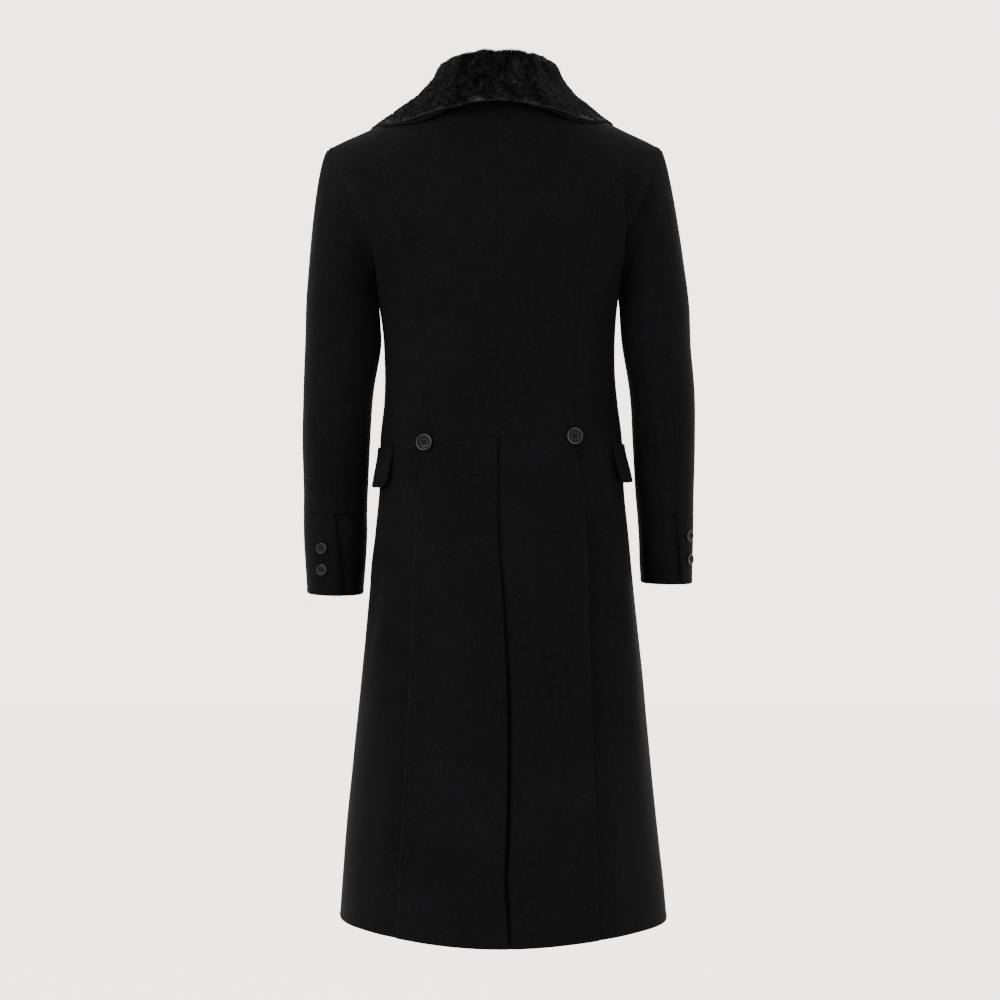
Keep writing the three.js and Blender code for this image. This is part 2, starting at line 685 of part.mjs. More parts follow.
// The armhole as one closed ring, from the shoulder point down the back and up the front.
function armholeRing(seams) {
  const back = withRoll(seams.armholeBack);
  const front = withRoll(seams.armholeFront).slice(1, -1).reverse();
  const line = [...back, ...front].map(([angle, z]) => onBody(angle, z));
  const frontTurns = HEAD_TURNS.slice(1, -1).map((turn) => 180 - turn).reverse();
  const turns = [...HEAD_TURNS, ...frontTurns];
  const bends = [...HEAD_FOLDS, ...HEAD_FOLDS.slice(1, -1).reverse()];
  return line.map(({ p, n }, i) => {
    const ahead = line[(i + 1) % line.length].p;
    const behind = line[(i + line.length - 1) % line.length].p;
    const along = ahead.clone().sub(behind).normalize();
    const off = along.cross(n).normalize().multiplyScalar(-seams.sign);
    const fold = THREE.MathUtils.degToRad(bends[i]);
    const rest = bends[i] / 180;
    const clear = off.clone().multiplyScalar(1 - rest).addScaledVector(n, rest).setLength(SEAM_GAP + 0.1);
    return {
      start: p.clone().add(clear),
      inward: n.clone().multiplyScalar(-Math.cos(fold)).addScaledVector(off, Math.sin(fold)),
      leave: off.clone().multiplyScalar(Math.cos(fold)).addScaledVector(n, Math.sin(fold)),
      turn: turns[i],
    };
  });
}

// How far round the arm each armhole point leads, and how sharply the cloth folds back at the seam.
const HEAD_TURNS = [90, 83, 75, 66, 51, 35, 18, 0, -18, -36, -54, -72, -90];
const HEAD_FOLDS = [0, 0, 0, 0, 0, 0, 4, 14, 35, 70, 115, 155, 180];
const BACK_SEAM = 7; // ring points where the two pieces of the sleeve meet
const FRONT_SEAM = 15;

function sleeveGrids(seams) {
  const ring = armholeRing(seams);
  const count = ring.length;
  const head = HEAD_ROWS.map((t) =>
    ring.map(({ start, leave, turn }) => {
      const end = onArm(seams.sign, BICEP, turn);
      const reach = end.distanceTo(start);
      const t2 = t * t;
      const t3 = t2 * t;
      return new THREE.Vector3()
        .addScaledVector(start, 2 * t3 - 3 * t2 + 1)
        .addScaledVector(leave, (t3 - 2 * t2 + t) * Math.min(reach * 0.8, HEAD_PULL[seams.side]))
        .addScaledVector(end, 3 * t2 - 2 * t3)
        .addScaledVector(new THREE.Vector3(0, 0, -1), (t3 - t2) * reach * 0.9);
    }),
  );
  const arm = [...ARM_ROWS, CUFF_SEAM].map((z) => ring.map(({ turn }) => onArm(seams.sign, z, turn)));
  const outer = [...head, ...arm];
  const inner = outer.map((row, j) =>
    row.map((p, i) => {
      const round = row[(i + 1) % count].clone().sub(row[(i + count - 1) % count]);
      const down = outer[Math.min(j + 1, outer.length - 1)][i].clone().sub(outer[Math.max(j - 1, 0)][i]);
      const n = round.cross(down).normalize().multiplyScalar(-seams.sign);
      if (j === 0) n.copy(ring[i].inward);
      if (j === 1) n.lerp(ring[i].inward, 0.5).normalize();
      return p.clone().addScaledVector(n, CLOTH);
    }),
  );
  return { outer, inner };
}

const SLEEVE_INSET = 0.55;
function sleevePiece(grids, first, last) {
  const count = grids.outer[0].length;
  const columns = range(first, last, last - first).map((i) => (i + count) % count);
  const pick = (grid) => grid.map((row) => columns.map((i) => row[i]));
  const outer = pick(grids.outer);
  const inner = pick(grids.inner);
  const tight = inset(outer, SLEEVE_INSET, SEAM_GAP / 2);
  return wall(
    tight,
    inner.map((row, j) => row.map((p, i) => p.clone().add(tight[j][i]).sub(outer[j][i]))),
  );
}

// Cuff: a band round the sleeve whose outer end laps over its inner end.
const CUFF_ROWS = 4;
const CUFF_COLS = 24;
const CUFF_LAP = 30;
function cuff(sign) {
  const side = sideName(sign);
  const rows = range(CUFF_SEAM - SEAM_GAP, CUFF_END[side], CUFF_ROWS);
  const turns = range(0, 360 + CUFF_LAP, CUFF_COLS);
  const lift = (turn) => -(CLOTH + LAYER_GAP) * ramp(360 - CUFF_LAP, 356, turn);
  const grid = (depth) => rows.map((z) => turns.map((turn) => onArm(sign, z, turn, lift(turn) - depth)));
  return wall(grid(0), grid(CLOTH));
}

// Collar and lapels. Each station has a section in the plane across the fold: the inner leg stands
// on the seam, bends over the fold's circle, and falls to the outer edge. In that plane the first
// coordinate runs outward from the seam and the second one stands up from the body.
const COLLAR = table(
  ["station", "out", "up", "radius", "end", "legOut", "legUp", "start", "finish"],
  [
    // fold's middle, its radius, the angle where it ends, the leg's foot, and the fall's two pulls
    [0, -12, 53, 11.5, 0, -9.8, 1.2, 22, 20],
    [2, -12, 51, 11.5, 2, -9.8, 1.2, 24, 24],
    [3, -11, 46, 11.5, 8, -9.8, 1.2, 30, 30],
    [4, -9.5, 36, 11.5, 16, -9.8, 1.2, 36, 38],
    [5, -8, 26, 11.5, 25, -9.8, 1.2, 40, 45],
    [6, -6.5, 18, 11.2, 42, -9.6, -1, 38, 40],
    [7, -4, 10, 10.2, 60, -9.2, -1.5, 34, 36],
    [8, -1, 3, 8.6, 78, -8.4, -1.2, 30, 30],
    [9, 0.5, -0.3, 7.6, 90, -7.1, -1, 0, 0],
    [13, 0.5, -0.3, 7.6, 90, -7.1, -0.8, 0, 0],
  ],
);
const FOLD_POINTS = 4;
const FALL_POINTS = 5;
const COLLAR_END = 5.5; // station in front of the shoulder where the collar meets the lapel
// Outer edge of the fur: where it lies over the body, and how high above it.
const FALL_EDGE = {
  left: table(
    ["station", "x", "z", "lift"],
    [
      [0, -3, -19.5, 21],
      [1, -42, -24, 18],
      [2, -78, -35, 14],
      [3, -112, -43, 10.5],
      [4, -147, -47, 8],
      [5, -178.5, -44, 6.8],
      [6, -181, -84, 5.2],
      [7, -168, -124, 4.4],
      [8, -146, -164, 4.4],
      [9, -116, -203, 4.4],
      [10, -80, -238, 4.4],
      [11, -38, -270, 4.4],
      [12, 10, -296, 4.4],
      [13, 52, -312, 4.4],
    ],
  ),
  right: table(
    ["station", "x", "z", "lift"],
    [
      [0, -3, -19.5, 21],
      [1, 34, -23, 18],
      [2, 68, -33, 14],
      [3, 99, -41, 10.5],
      [4, 129, -43, 8],
      [5, 155.5, -37, 6.8],
      [6, 158, -80, 5.2],
      [7, 148, -118, 4.4],
      [8, 132, -156, 4.4],
      [9, 110, -194, 4.4],
      [10, 84, -232, 4.4],
      [11, 50, -262, 4.4],
    ],
  ),
};
// Which way the neck seam faces: 0 straight back, 90 sideways.
const NECK_FACING = table(
  ["station", "degrees"],
  [[0, 0], [1, 10], [2, 24], [3, 42], [4, 66], [5, 88], [6, 105], [13, 105]],
);
const UNDER_REACH = table(["station", "by"], [[0, -1], [1, 0.5], [2, 3.5], [3, 6], [4, 7], [5, 6], [6, 5]]);
const ROLL_END = { left: 8, right: 5.15 }; // where each roll line stops showing
const RIGHT_TIP = { x: 66, z: -278 }; // where the right lapel's outer edge meets the left front

// The seam or folded edge that a station stands on, the way outward from it, and the way up.
function station(sign, s) {
  const side = sideName(sign);
  const share = SHOULDER_TIP[side] / SHOULDER_SCALE;
  const edge = FALL_EDGE[side];
  const last = 5 + ROLL_END[side];
  const isLast = sign > 0 && s > last - 0.01;
  let foot;
  let up = new THREE.Vector3(0, 0, 1);
  if (s <= 5) {
    const x = s === 0 ? CENTRE.x(0) : sign * share * BACK_NECK.x(s);
    const z = Math.min(BACK_NECK.z(s), ridgeHeight(x));
    foot = torso(angleAt(x, z, "back"), z);
  } else {
    const [x, z] = rollPoint(side, s - 5);
    const turn = angleAt(x, z, "front", sign);
    foot = onBody(turn, z, sign > 0 ? rightFrontDrop(turn, z) : 0).p;
    up = up.lerp(outward(foot), ramp(5, 7, s)).normalize();
  }
  const reach = isLast ? RIGHT_TIP : { x: edge.x(s), z: edge.z(s) };
  const face = s <= 5 ? "back" : "front";
  const height = Math.min(reach.z, ridgeHeight(reach.x) - 0.01);
  const angle = angleAt(reach.x, height, face, sign);
  const sunk = sign > 0 && s > 5 ? rightFrontDrop(angle, height) : 0;
  const rim = onBody(angle, height, edge.lift(s) + sunk);
  const across = rim.p.clone().sub(foot);
  across.addScaledVector(up, -across.dot(up)).normalize();
  const facing = THREE.MathUtils.degToRad(NECK_FACING.degrees(s));
  const out = new THREE.Vector3(sign * Math.sin(facing), -Math.cos(facing), 0).lerp(across, ramp(5, 7, s));
  out.addScaledVector(up, -out.dot(up)).normalize();
  return { foot, up, out, rim, angle, height, s };
}

// The fur's outer side at a station, from the inner leg's foot to the outer edge.
function furSection(sign, s) {
  const { foot, up, out, rim, angle, height } = station(sign, s);
  const place = (o, u) => foot.clone().addScaledVector(out, o).addScaledVector(up, u);
  const points = [place(COLLAR.legOut(s), COLLAR.legUp(s))];
  const middle = [COLLAR.out(s), COLLAR.up(s)];
  const radius = COLLAR.radius(s);
  const end = COLLAR.end(s);
  points.push(place(...between([COLLAR.legOut(s), COLLAR.legUp(s)], [middle[0] - radius, middle[1]], 0.55)));
  const round = range(180, end, FOLD_POINTS).map((a) => THREE.MathUtils.degToRad(a));
  points.push(...round.map((a) => place(middle[0] + radius * Math.cos(a), middle[1] + radius * Math.sin(a))));
  const from = points[points.length - 1];
  const shares = range(0, 1, FALL_POINTS).slice(1);
  const a = round[round.length - 1];
  const leave = out.clone().multiplyScalar(Math.sin(a)).addScaledVector(up, -Math.cos(a));
  const down = new THREE.Vector3(0, 0, -1);
  const flow = rim.p.clone().sub(foot).normalize().lerp(down, Math.max(0.1, 0.75 - 0.12 * s)).normalize();
  const first = from.clone().addScaledVector(leave, COLLAR.start(s));
  const second = rim.p.clone().addScaledVector(flow, -COLLAR.finish(s));
  const fall = new THREE.CubicBezierCurve3(from, first, second, rim.p);
  // In front the fall follows the body, at the fur's own thickness once it has come down to it.
  const low = LAYER_GAP + FUR;
  const high = Math.max(low, from.clone().sub(foot).dot(up));
  const along = (t) => {
    const x = THREE.MathUtils.lerp(from.x, rim.p.x, t);
    const z = Math.min(THREE.MathUtils.lerp(from.z, height, t), ridgeHeight(x) - 0.5);
    const turn = angleAt(x, z, "front", sign);
    return onBody(turn, z, low + (high - low) * (1 - t) ** 2.5 + (sign > 0 ? rightFrontDrop(turn, z) : 0)).p;
  };
  const under = s <= 6 ? UNDER_COLLAR + LAYER_GAP * 0.7 + 2.7 * ramp(2.5, 4, s) : 0;
  const least = FUR + LAYER_GAP + under;
  for (const t of shares) {
    const p = fall.getPoint(t);
    if (t === 1) points.push(s <= 8 ? lifted(rim.p, least - FUR + FUR_EDGE) : rim.p);
    else if (s <= 5) points.push(p.z < foot.z ? lifted(p, least) : p);
    else if (s <= 8) points.push(lifted(fall.getPoint(t).lerp(along(t), ramp(5, 8, s)), least));
    else points.push(along(t));
  }
  return points;
}

// Ways out of a grid of points at each of them.
function gridNormals(grid, flip) {
  const rows = grid.length - 1;
  return grid.map((row, j) =>
    row.map((_, i) => {
      const along = row[Math.min(i + 1, row.length - 1)].clone().sub(row[Math.max(i - 1, 0)]);
      const over = grid[Math.min(j + 1, rows)][i].clone().sub(grid[Math.max(j - 1, 0)][i]);
      return along.cross(over).normalize().multiplyScalar(flip);
    }),
  );
}

// The grid moved in by a depth that depends on the column.
function sunkGrid(grid, normals, depth) {
  return grid.map((row, j) => row.map((p, i) => p.clone().addScaledVector(normals[j][i], -depth(i))));
}

const furDepth = (i, count) => (i === count ? FUR_EDGE : i === count - 1 ? (FUR + FUR_EDGE) / 2 + 0.8 : FUR);
// Stations lie closer together where the collar crosses the shoulder.
const AROUND = [0.5, 1, 1.5, 2, 2.5, 3, 3.5, 4, 4.4, 4.7, 4.87, 5, 5.13, 5.3, COLLAR_END];
const collarStations = [
  ...[...AROUND].reverse().map((s) => [-1, s]),
  [-1, 0],
  ...AROUND.map((s) => [1, s]),
];

function collar() {
  const outer = collarStations.map(([sign, s]) => furSection(sign, s));
  const normals = gridNormals(outer, 1);
  const count = outer[0].length - 1;
  const sunk = (depth) => sunkGrid(outer, normals, depth);
  add("collar_fur", wall(inset(outer), inset(sunk((i) => furDepth(i, count)))), pile);
  // The under collar lies inside the fur's fold and shows beyond its edge at the shoulders.
  const under = (more) => {
    const grid = sunk((i) => furDepth(i, count) + LAYER_GAP * 0.7 + more);
    return grid.map((row, j) => {
      const by = UNDER_REACH.by(collarStations[j][1]);
      const tip = row[count].clone().sub(row[count - 1]).setLength(1).multiplyScalar(by);
      const edge = lifted(row[count].clone().add(tip), UNDER_COLLAR - more + 3 * LAYER_GAP);
      return [...row.slice(0, count), edge];
    });
  };
  add("under_collar", wall(under(0), under(UNDER_COLLAR)));
}

const LAPEL_ROWS = 8;
function lapel(sign) {
  const last = 5 + ROLL_END[sideName(sign)];
  const outer = range(COLLAR_END, last, LAPEL_ROWS).map((s) => furSection(sign, s));
  const normals = gridNormals(outer, -sign);
  const count = outer[0].length - 1;
  const inner = sunkGrid(outer, normals, (i) => furDepth(i, count));
  add("lapel_" + sideName(sign), wall(inset(outer), inset(inner)), pile);
}

// Pocket flaps on the hips, standing a little away from the body at the bottom.
const FLAP = {
  left: { from: 59, to: 116, top: -487, foot: -543, proud: 7 },
  right: { from: 62, to: 118, top: -482, foot: -536, proud: 9 },
};
function flap(sign) {
  const { from, to, top, foot, proud } = FLAP[sideName(sign)];
  const cells = range(0, 1, 3).map((v) =>
    range(from, to, 8).map((angle, i) => {
      const corner = v === 1 && (i === 0 || i === 8) ? 6 : 0;
      return [sign * (angle + (i === 0 ? v * 2 : 0)), THREE.MathUtils.lerp(top, foot, v) + corner];
    }),
  );
  const height = (angle, z) => CLOTH + LAYER_GAP + proud * ramp(top, foot, z);
  add("pocket_flap_" + sideName(sign), panel(cells, height));
}

// Four-hole buttons, turned from a dished disc with a raised rim.
const BUTTON_SIZE = { waist: 23, front: 23, cuff: 15 };
function button(name, size, p, n, gap = LAYER_GAP / 2) {
  const r = size / 2;
  const profile = [
    [0, 0],
    [r * 0.8, 0],
    [r, r * 0.14],
    [r * 0.97, r * 0.34],
    [r * 0.82, r * 0.38],
    [r * 0.62, r * 0.24],
    [0, r * 0.2],
  ].map(([x, y]) => new THREE.Vector2(x, y));
  const geometry = new THREE.LatheGeometry(profile, 18);
  geometry.deleteAttribute("uv");
  geometry.deleteAttribute("normal");
  const turned = new THREE.Quaternion().setFromUnitVectors(new THREE.Vector3(0, 1, 0), n);
  geometry.applyQuaternion(turned);
  geometry.translate(...p.clone().addScaledVector(n, gap).toArray());
  add(name, geometry, horn);
}

collar();
for (const sign of [-1, 1]) {
  const seams = seamsOf(sign);
  const { side } = seams;
  add("back_" + side, panel(backPanel(seams)));
  add("back_skirt_" + side, backSkirt(seams));
  add("side_" + side, sidePanel(seams));
  add("front_" + side, frontPanel(seams));
  const grids = sleeveGrids(seams);
  add("sleeve_under_" + side, sleevePiece(grids, BACK_SEAM, FRONT_SEAM));
  add("sleeve_upper_" + side, sleevePiece(grids, FRONT_SEAM - grids.outer[0].length, BACK_SEAM));
  add("cuff_" + side, cuff(sign));
  lapel(sign);
  flap(sign);
}

// Waist buttons at the foot of the back seams, as shown.
const WAIST_BUTTONS = { left: { x: -102.4, z: -481.7 }, right: { x: 101, z: -473 } };
for (const [side, { x, z }] of Object.entries(WAIST_BUTTONS)) {
  const { p, n } = onBody(angleAt(x, z, "back"), z);
  button("waist_button_" + side, BUTTON_SIZE.waist, p, n, LAYER_GAP);
}

// Cuff buttons beside each cuff's overlap edge.
const CUFF_BUTTONS = {
  left: [{ turn: 31, z: -627 }, { turn: 36, z: -657 }],
  right: [{ turn: 27, z: -610 }, { turn: 27, z: -643 }],
};
for (const [side, list] of Object.entries(CUFF_BUTTONS)) {
  const sign = side === "left" ? -1 : 1;
  list.forEach(({ turn, z }, i) => {
    const p = onArm(sign, z, turn);
    const round = onArm(sign, z, turn + 3).sub(onArm(sign, z, turn - 3));
    const down = onArm(sign, z - 5, turn).sub(onArm(sign, z + 5, turn));
    const n = down.cross(round).normalize().multiplyScalar(sign);
    button("cuff_button_" + side + "_" + (i + 1), BUTTON_SIZE.cuff, p, n);
  });
}

// Two columns of front buttons, all on the left front, which laps over the right one.
const FRONT_BUTTON_X = 43;
const FRONT_BUTTON_Z = [-345, -450, -555];
FRONT_BUTTON_Z.forEach((z, i) => {
  for (const x of [-FRONT_BUTTON_X, FRONT_BUTTON_X]) {
    const { p, n } = onBody(angleAt(x, z, "front", -1), z);
    button("front_button_" + sideName(x) + "_" + (i + 1), BUTTON_SIZE.front, p, n);
  }
});

export default coat;
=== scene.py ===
import bpy
import numpy as np
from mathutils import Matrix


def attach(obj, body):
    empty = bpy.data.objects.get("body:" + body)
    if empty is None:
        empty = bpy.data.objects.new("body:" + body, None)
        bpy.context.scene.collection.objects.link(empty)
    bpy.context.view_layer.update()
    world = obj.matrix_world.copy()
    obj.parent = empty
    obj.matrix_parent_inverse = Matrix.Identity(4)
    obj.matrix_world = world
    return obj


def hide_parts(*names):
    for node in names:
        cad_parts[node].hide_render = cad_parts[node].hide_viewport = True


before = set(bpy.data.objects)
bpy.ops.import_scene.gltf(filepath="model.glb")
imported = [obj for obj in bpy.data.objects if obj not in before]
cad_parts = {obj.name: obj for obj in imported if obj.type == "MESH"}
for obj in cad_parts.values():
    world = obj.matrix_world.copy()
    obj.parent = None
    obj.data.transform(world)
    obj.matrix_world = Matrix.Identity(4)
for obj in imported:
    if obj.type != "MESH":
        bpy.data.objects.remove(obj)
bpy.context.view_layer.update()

# The coat's filled-out shape. Milled wool is stiff, so the body is one smooth rounded tube from
# the shoulders to the hem, and every panel is cut from it. A section is an ellipse with a little
# of its third harmonic, and over the shoulders it closes like an arch up to the shoulder ridge.
MM = 0.001
SHOULDER_ROLL = 80
SHOULDER_TIP = {-1: 243, 1: 228}
SHOULDER_SCALE = 240
SIDE_NAME = {-1: "left", 1: "right"}


def smooth_table(columns, rows):
    """Named columns as curves over the first one: cubic pieces through the rows with mean slopes."""
    data = np.array(sorted(rows), float)
    at = data[:, 0]
    low = np.maximum(np.arange(len(at)) - 1, 0)
    high = np.minimum(np.arange(len(at)) + 1, len(at) - 1)
    slopes = (data[high] - data[low]) / (at[high] - at[low])[:, None]

    def column(k):
        """The curve of column k."""

        def curve(x):
            """Hermite cubic between the two rows beside x."""
            v = np.clip(x, at[0], at[-1])
            i = np.clip(np.searchsorted(at, v, side="right") - 1, 0, len(at) - 2)
            span = at[i + 1] - at[i]
            t = (v - at[i]) / span
            start, end = data[i, k], data[i + 1, k]
            rise, fall = slopes[i, k] * span, slopes[i + 1, k] * span
            return (
                start * (2 * t**3 - 3 * t**2 + 1)
                + rise * (t**3 - 2 * t**2 + t)
                + end * (3 * t**2 - 2 * t**3)
                + fall * (t**3 - t**2)
            )

        return curve

    return {name: column(k) for k, name in enumerate(columns) if k}


BODY = smooth_table(
    ["z", "left", "right", "back", "front", "square"],
    [
        [60, 247, 232, 70, 40, 0.03],
        [10, 247, 232, 78, 56, 0.03],
        [-45, 247, 232, 93, 84, 0.03],
        [-92, 243, 227, 104, 103, 0.03],
        [-138, 224, 213, 112, 116, 0.035],
        [-190, 197, 191, 117, 125, 0.04],
        [-240, 179, 175, 116, 129, 0.04],
        [-274, 171.5, 166, 112, 129, 0.04],
        [-329, 163, 161, 104, 125, 0.035],
        [-380, 160.5, 161, 97, 119, 0.03],
        [-425, 162, 165, 93, 115, 0.03],
        [-475, 167.5, 171, 94, 114, 0.03],
        [-546, 169, 173.5, 105, 118, 0.03],
        [-613, 175, 180, 119, 122, 0.025],
        [-697, 183, 188, 130, 127, 0.02],
        [-798, 192.5, 199, 142, 134, 0.015],
        [-900, 203, 208.5, 154, 143, 0.01],
        [-1000, 213, 218, 168, 152, 0.005],
        [-1100, 221, 229, 183, 162, 0],
        [-1160, 225.5, 235, 192, 168, 0],
    ],
)
RIDGE = smooth_table(
    ["x", "z"],
    [
        [0, 150],
        [30, 108],
        [50, 62],
        [72, 22],
        [85, 6],
        [110, -10],
        [135, -22],
        [160, -34],
        [183, -45],
        [215, -59],
        [240, -71],
        [265, -84],
    ],
)
# Folds run down the cloth: the angle at the top and at the foot, the heights of both, half the
# width in degrees, and the depth.
FOLDS = [
    [48, 36, -500, -1010, 13, -11],
    [66, 58, -560, -1200, 16, 4],
    [-50, -44, -500, -960, 12, -5],
    [-70, -80, -560, -900, 10, 4.5],
    [-24, -20, -640, -1300, 15, -4],
    [22, 17, -640, -1300, 14, -3.5],
    [-128, -134, -560, -1300, 18, -6],
    [130, 136, -560, -1300, 18, -6],
    [-52, -38, -110, -330, 10, -3],
    [55, 40, -110, -330, 10, -4],
]


def ramp(start, end, x):
    """A smooth step from 0 at start to 1 at end, whichever is larger."""
    t = np.clip((x - start) / (end - start), 0, 1)
    return t * t * (3 - 2 * t)


def bump(low, high, x):
    """A sine-squared hump between low and high, and 0 outside them."""
    t = np.clip((x - low) / (high - low), 0, 1)
    return np.sin(np.pi * t) ** 2


def across(sine, q):
    """Quarter section: the sine with its third harmonic, scaled to end at 1."""
    return ((1 + 3 * q) * sine - 4 * q * sine**3) / (1 - q)


def sine_of(share, q):
    """The sine at which across() gives the share, by Newton's steps."""
    sine = np.minimum(share, 1.0)
    for _ in range(12):
        slope = (1 + 3 * q - 12 * q * sine * sine) / (1 - q)
        sine = np.minimum(1.0, sine - (across(sine, q) - share) / slope)
    return sine


def half_width(x, z):
    """Half the body's width on the side of x."""
    return np.where(x < 0, BODY["left"](z), BODY["right"](z))


def ridge_height(x):
    """Height of the shoulder ridge over x, whose table is scaled to each shoulder's reach."""
    tip = np.where(x < 0, SHOULDER_TIP[-1], SHOULDER_TIP[1])
    return RIDGE["z"](np.abs(x) * SHOULDER_SCALE / tip)


def opened(x, z):
    """How far the arch has opened below the shoulder ridge: 0 on it, 1 below its roll."""
    t = (ridge_height(x) - z) / SHOULDER_ROLL
    return np.where(t >= 1, 1.0, 2 * t - t * t)


def torso(angle, z):
    """Section point: x by the angle's sine, y by its cosine, times the arch's opening."""
    turned = (angle + 180) % 360 - 180
    radians = np.radians(np.abs(turned))
    q = BODY["square"](z)
    side = np.where(turned < 0, -1.0, 1.0)
    x = side * half_width(side, z) * across(np.sin(radians), q)
    cosine = np.cos(radians)
    share = across(np.abs(cosine), q) * np.sqrt(np.maximum(0, opened(x, z)))
    y = np.where(cosine > 0, -BODY["back"](z), BODY["front"](z)) * share
    return np.stack([x, y, z + 0 * x], -1)


def angle_at(x, z, face="back", sign=1):
    """The angle whose section point has this x; a front angle runs on past 180 over the centre."""
    a = np.degrees(np.arcsin(sine_of(np.abs(x) / half_width(x, z), BODY["square"](z))))
    if face == "back":
        return np.where(x < 0, -a, a)
    return sign * np.where(x * sign < 0, 180 + a, 180 - a)


def outside(p):
    """Less than 0 inside the body and more outside it: squared depth share less the section's."""
    x, y, z = p[..., 0], p[..., 1], p[..., 2]
    q = BODY["square"](z)
    share = np.abs(x) / half_width(x, z)
    sine = sine_of(share, q)
    inner = across(np.sqrt(np.maximum(0, 1 - sine * sine)), q) ** 2
    past = (1 - share) * (1 + 3 * q) ** 2 / ((1 - q) * (0.5 - 4.5 * q))
    depth = np.where(y < 0, BODY["back"](z), BODY["front"](z))
    return (y / depth) ** 2 - opened(x, z) * np.where(share >= 1, past, inner)


def steepest(p):
    """Gradient of outside() by central differences."""
    h = 0.05
    step = np.eye(3) * h
    return np.stack([(outside(p + step[k]) - outside(p - step[k])) / (2 * h) for k in range(3)], -1)


def unit(v):
    """Vectors divided by their lengths."""
    return v / np.maximum(np.linalg.norm(v, axis=-1, keepdims=True), 1e-9)


def folded(angle, z):
    """Sum of the folds: each is a cosine hump across and a sine hump along its line."""
    turned = (angle + 180) % 360 - 180
    total = 0 * turned
    for top, foot, start, end, wide, depth in FOLDS:
        t = np.clip((start - z) / (start - end), 0, 1)
        off = np.clip((turned - (top + (foot - top) * t)) / wide, -1, 1)
        total = total + depth * np.sin(np.pi * np.sqrt(t)) ** 2 * np.cos(np.pi * off / 2) ** 2
    return total


def on_body(angle, z, height=0.0):
    """A point at a height over the folded surface, and the way out there."""
    p = torso(angle, z)
    n = unit(steepest(p))
    return p + n * (folded(angle, z) + height)[..., None], n


# Seam lines. The tailor's seams are drawn on that shape as lists of angle and height. Each is
# shared by the two panels that it joins, which are sewn edge to edge.
HEM = -1150
HEM_RISE = 8.75  # how much higher the hem is at the sides
HEM_TILT = 1.25
HEM_RISE_ANGLE = 62
ARMPIT = -274
WAIST_CENTRE = -474
WAIST = -481
PRINCESS_STEP = 2
SIDE_STEP = 9
SIDE_ANGLE = 100
SIDE_EASE = 120
TIP_REACH = 237
NECK_REACH = 85
DEGREE_RUN = 2.5
ARMHOLE = np.array(
    [  # back angle, front angle, height
        [75, 105, -71],
        [70, 111, -90],
        [67, 115, -114],
        [65.5, 118.5, -140],
        [65, 120, -166],
        [66, 120, -192],
        [69, 117, -216],
        [73, 112, -238],
        [78.5, 106, -257],
        [84.5, 98, -269.5],
        [90, 90, ARMPIT],
    ],
    float,
)
PRINCESS = {  # x and height from the armhole to the waist button
    -1: [
        [-216, -114],
        [-199, -113],
        [-184, -118],
        [-168, -131],
        [-154, -149],
        [-141, -173],
        [-128, -209],
        [-118, -256],
        [-111, -304],
        [-107, -358],
        [-105, -412],
        [-103.5, -485],
    ],
    1: [
        [204, -114],
        [189, -114.5],
        [170, -118],
        [153, -133],
        [139, -155],
        [127, -184],
        [118, -218],
        [111, -262],
        [107, -308],
        [103.5, -360],
        [101.5, -412],
        [100, -477],
    ],
}
PLEAT_LINES = {  # height and x from the waist button to the hem
    -1: [[-485, -103.5], [-532, -112], [-600, -117], [-700, -120], [-850, -125], [-1160, -140]],
    1: [[-477, 100], [-532, 112], [-600, 119], [-700, 123], [-850, 125], [-1160, 133]],
}
PLEAT = {sign: smooth_table(["z", "x"], rows)["x"] for sign, rows in PLEAT_LINES.items()}
CENTRE_LINE = [
    [0, -3],
    [-474, -3],
    [-614, -2.5],
    [-670, 2],
    [-760, 7],
    [-850, 10],
    [-980, 9],
    [-1060, 6],
    [-1100, 8],
    [-1160, 12],
]
CENTRE = smooth_table(["z", "x"], CENTRE_LINE)["x"]
# The neck seam at the back, from the centre to the shoulder ridge, as x and height.
BACK_NECK = np.array([[3, -10], [28, -9.5], [50, -8], [68, -5], [80, 0], [85, 6]], float)
ROLL = np.array(
    [  # x and height down the line where the left lapel turns back
        [-85, 6],
        [-79, -32],
        [-69, -72],
        [-56, -113],
        [-40, -154],
        [-21, -194],
        [2, -232],
        [30, -268],
        [62, -305],
    ],
    float,
)
FRONT_EDGE = smooth_table(["z", "x"], [[-305, 62], [-475, 64], [-700, 62], [-900, 60], [-1160, 62]])["x"]
ROLL_X = smooth_table(["step", "x"], [[k, x] for k, (x, _) in enumerate(ROLL)])["x"]
ROLL_Z = smooth_table(["step", "z"], [[k, z] for k, (_, z) in enumerate(ROLL)])["z"]
ROLL_AT = smooth_table(["z", "x"], [[z, x] for x, z in ROLL])["x"]
NECK_X = smooth_table(["step", "x"], [[k, x] for k, (x, _) in enumerate(BACK_NECK)])["x"]
NECK_Z = smooth_table(["step", "z"], [[k, z] for k, (_, z) in enumerate(BACK_NECK)])["z"]


def hem_at(angle):
    """The hem is lowest at the back and rises to the sides, a little more on the left."""
    rise = HEM_RISE - HEM_TILT * np.sin(np.radians(angle))
    return HEM + rise * ramp(0, HEM_RISE_ANGLE, np.minimum(np.abs(angle), 360 - np.abs(angle)))


def line_runs(points):
    """Lengths run along a line of (angle, height) points."""
    steps = np.diff(points, axis=0) * [DEGREE_RUN, 1]
    return np.concatenate([[0], np.cumsum(np.hypot(*steps.T))])


def line(points, shares):
    """A smooth line of (angle, height) points, read at shares of its length."""
    points = np.array(points, float)
    runs = line_runs(points)
    table = smooth_table(["run", "angle", "z"], np.column_stack([runs, points]).tolist())
    at = shares * runs[-1]
    return np.stack([table["angle"](at), table["z"](at)], -1)


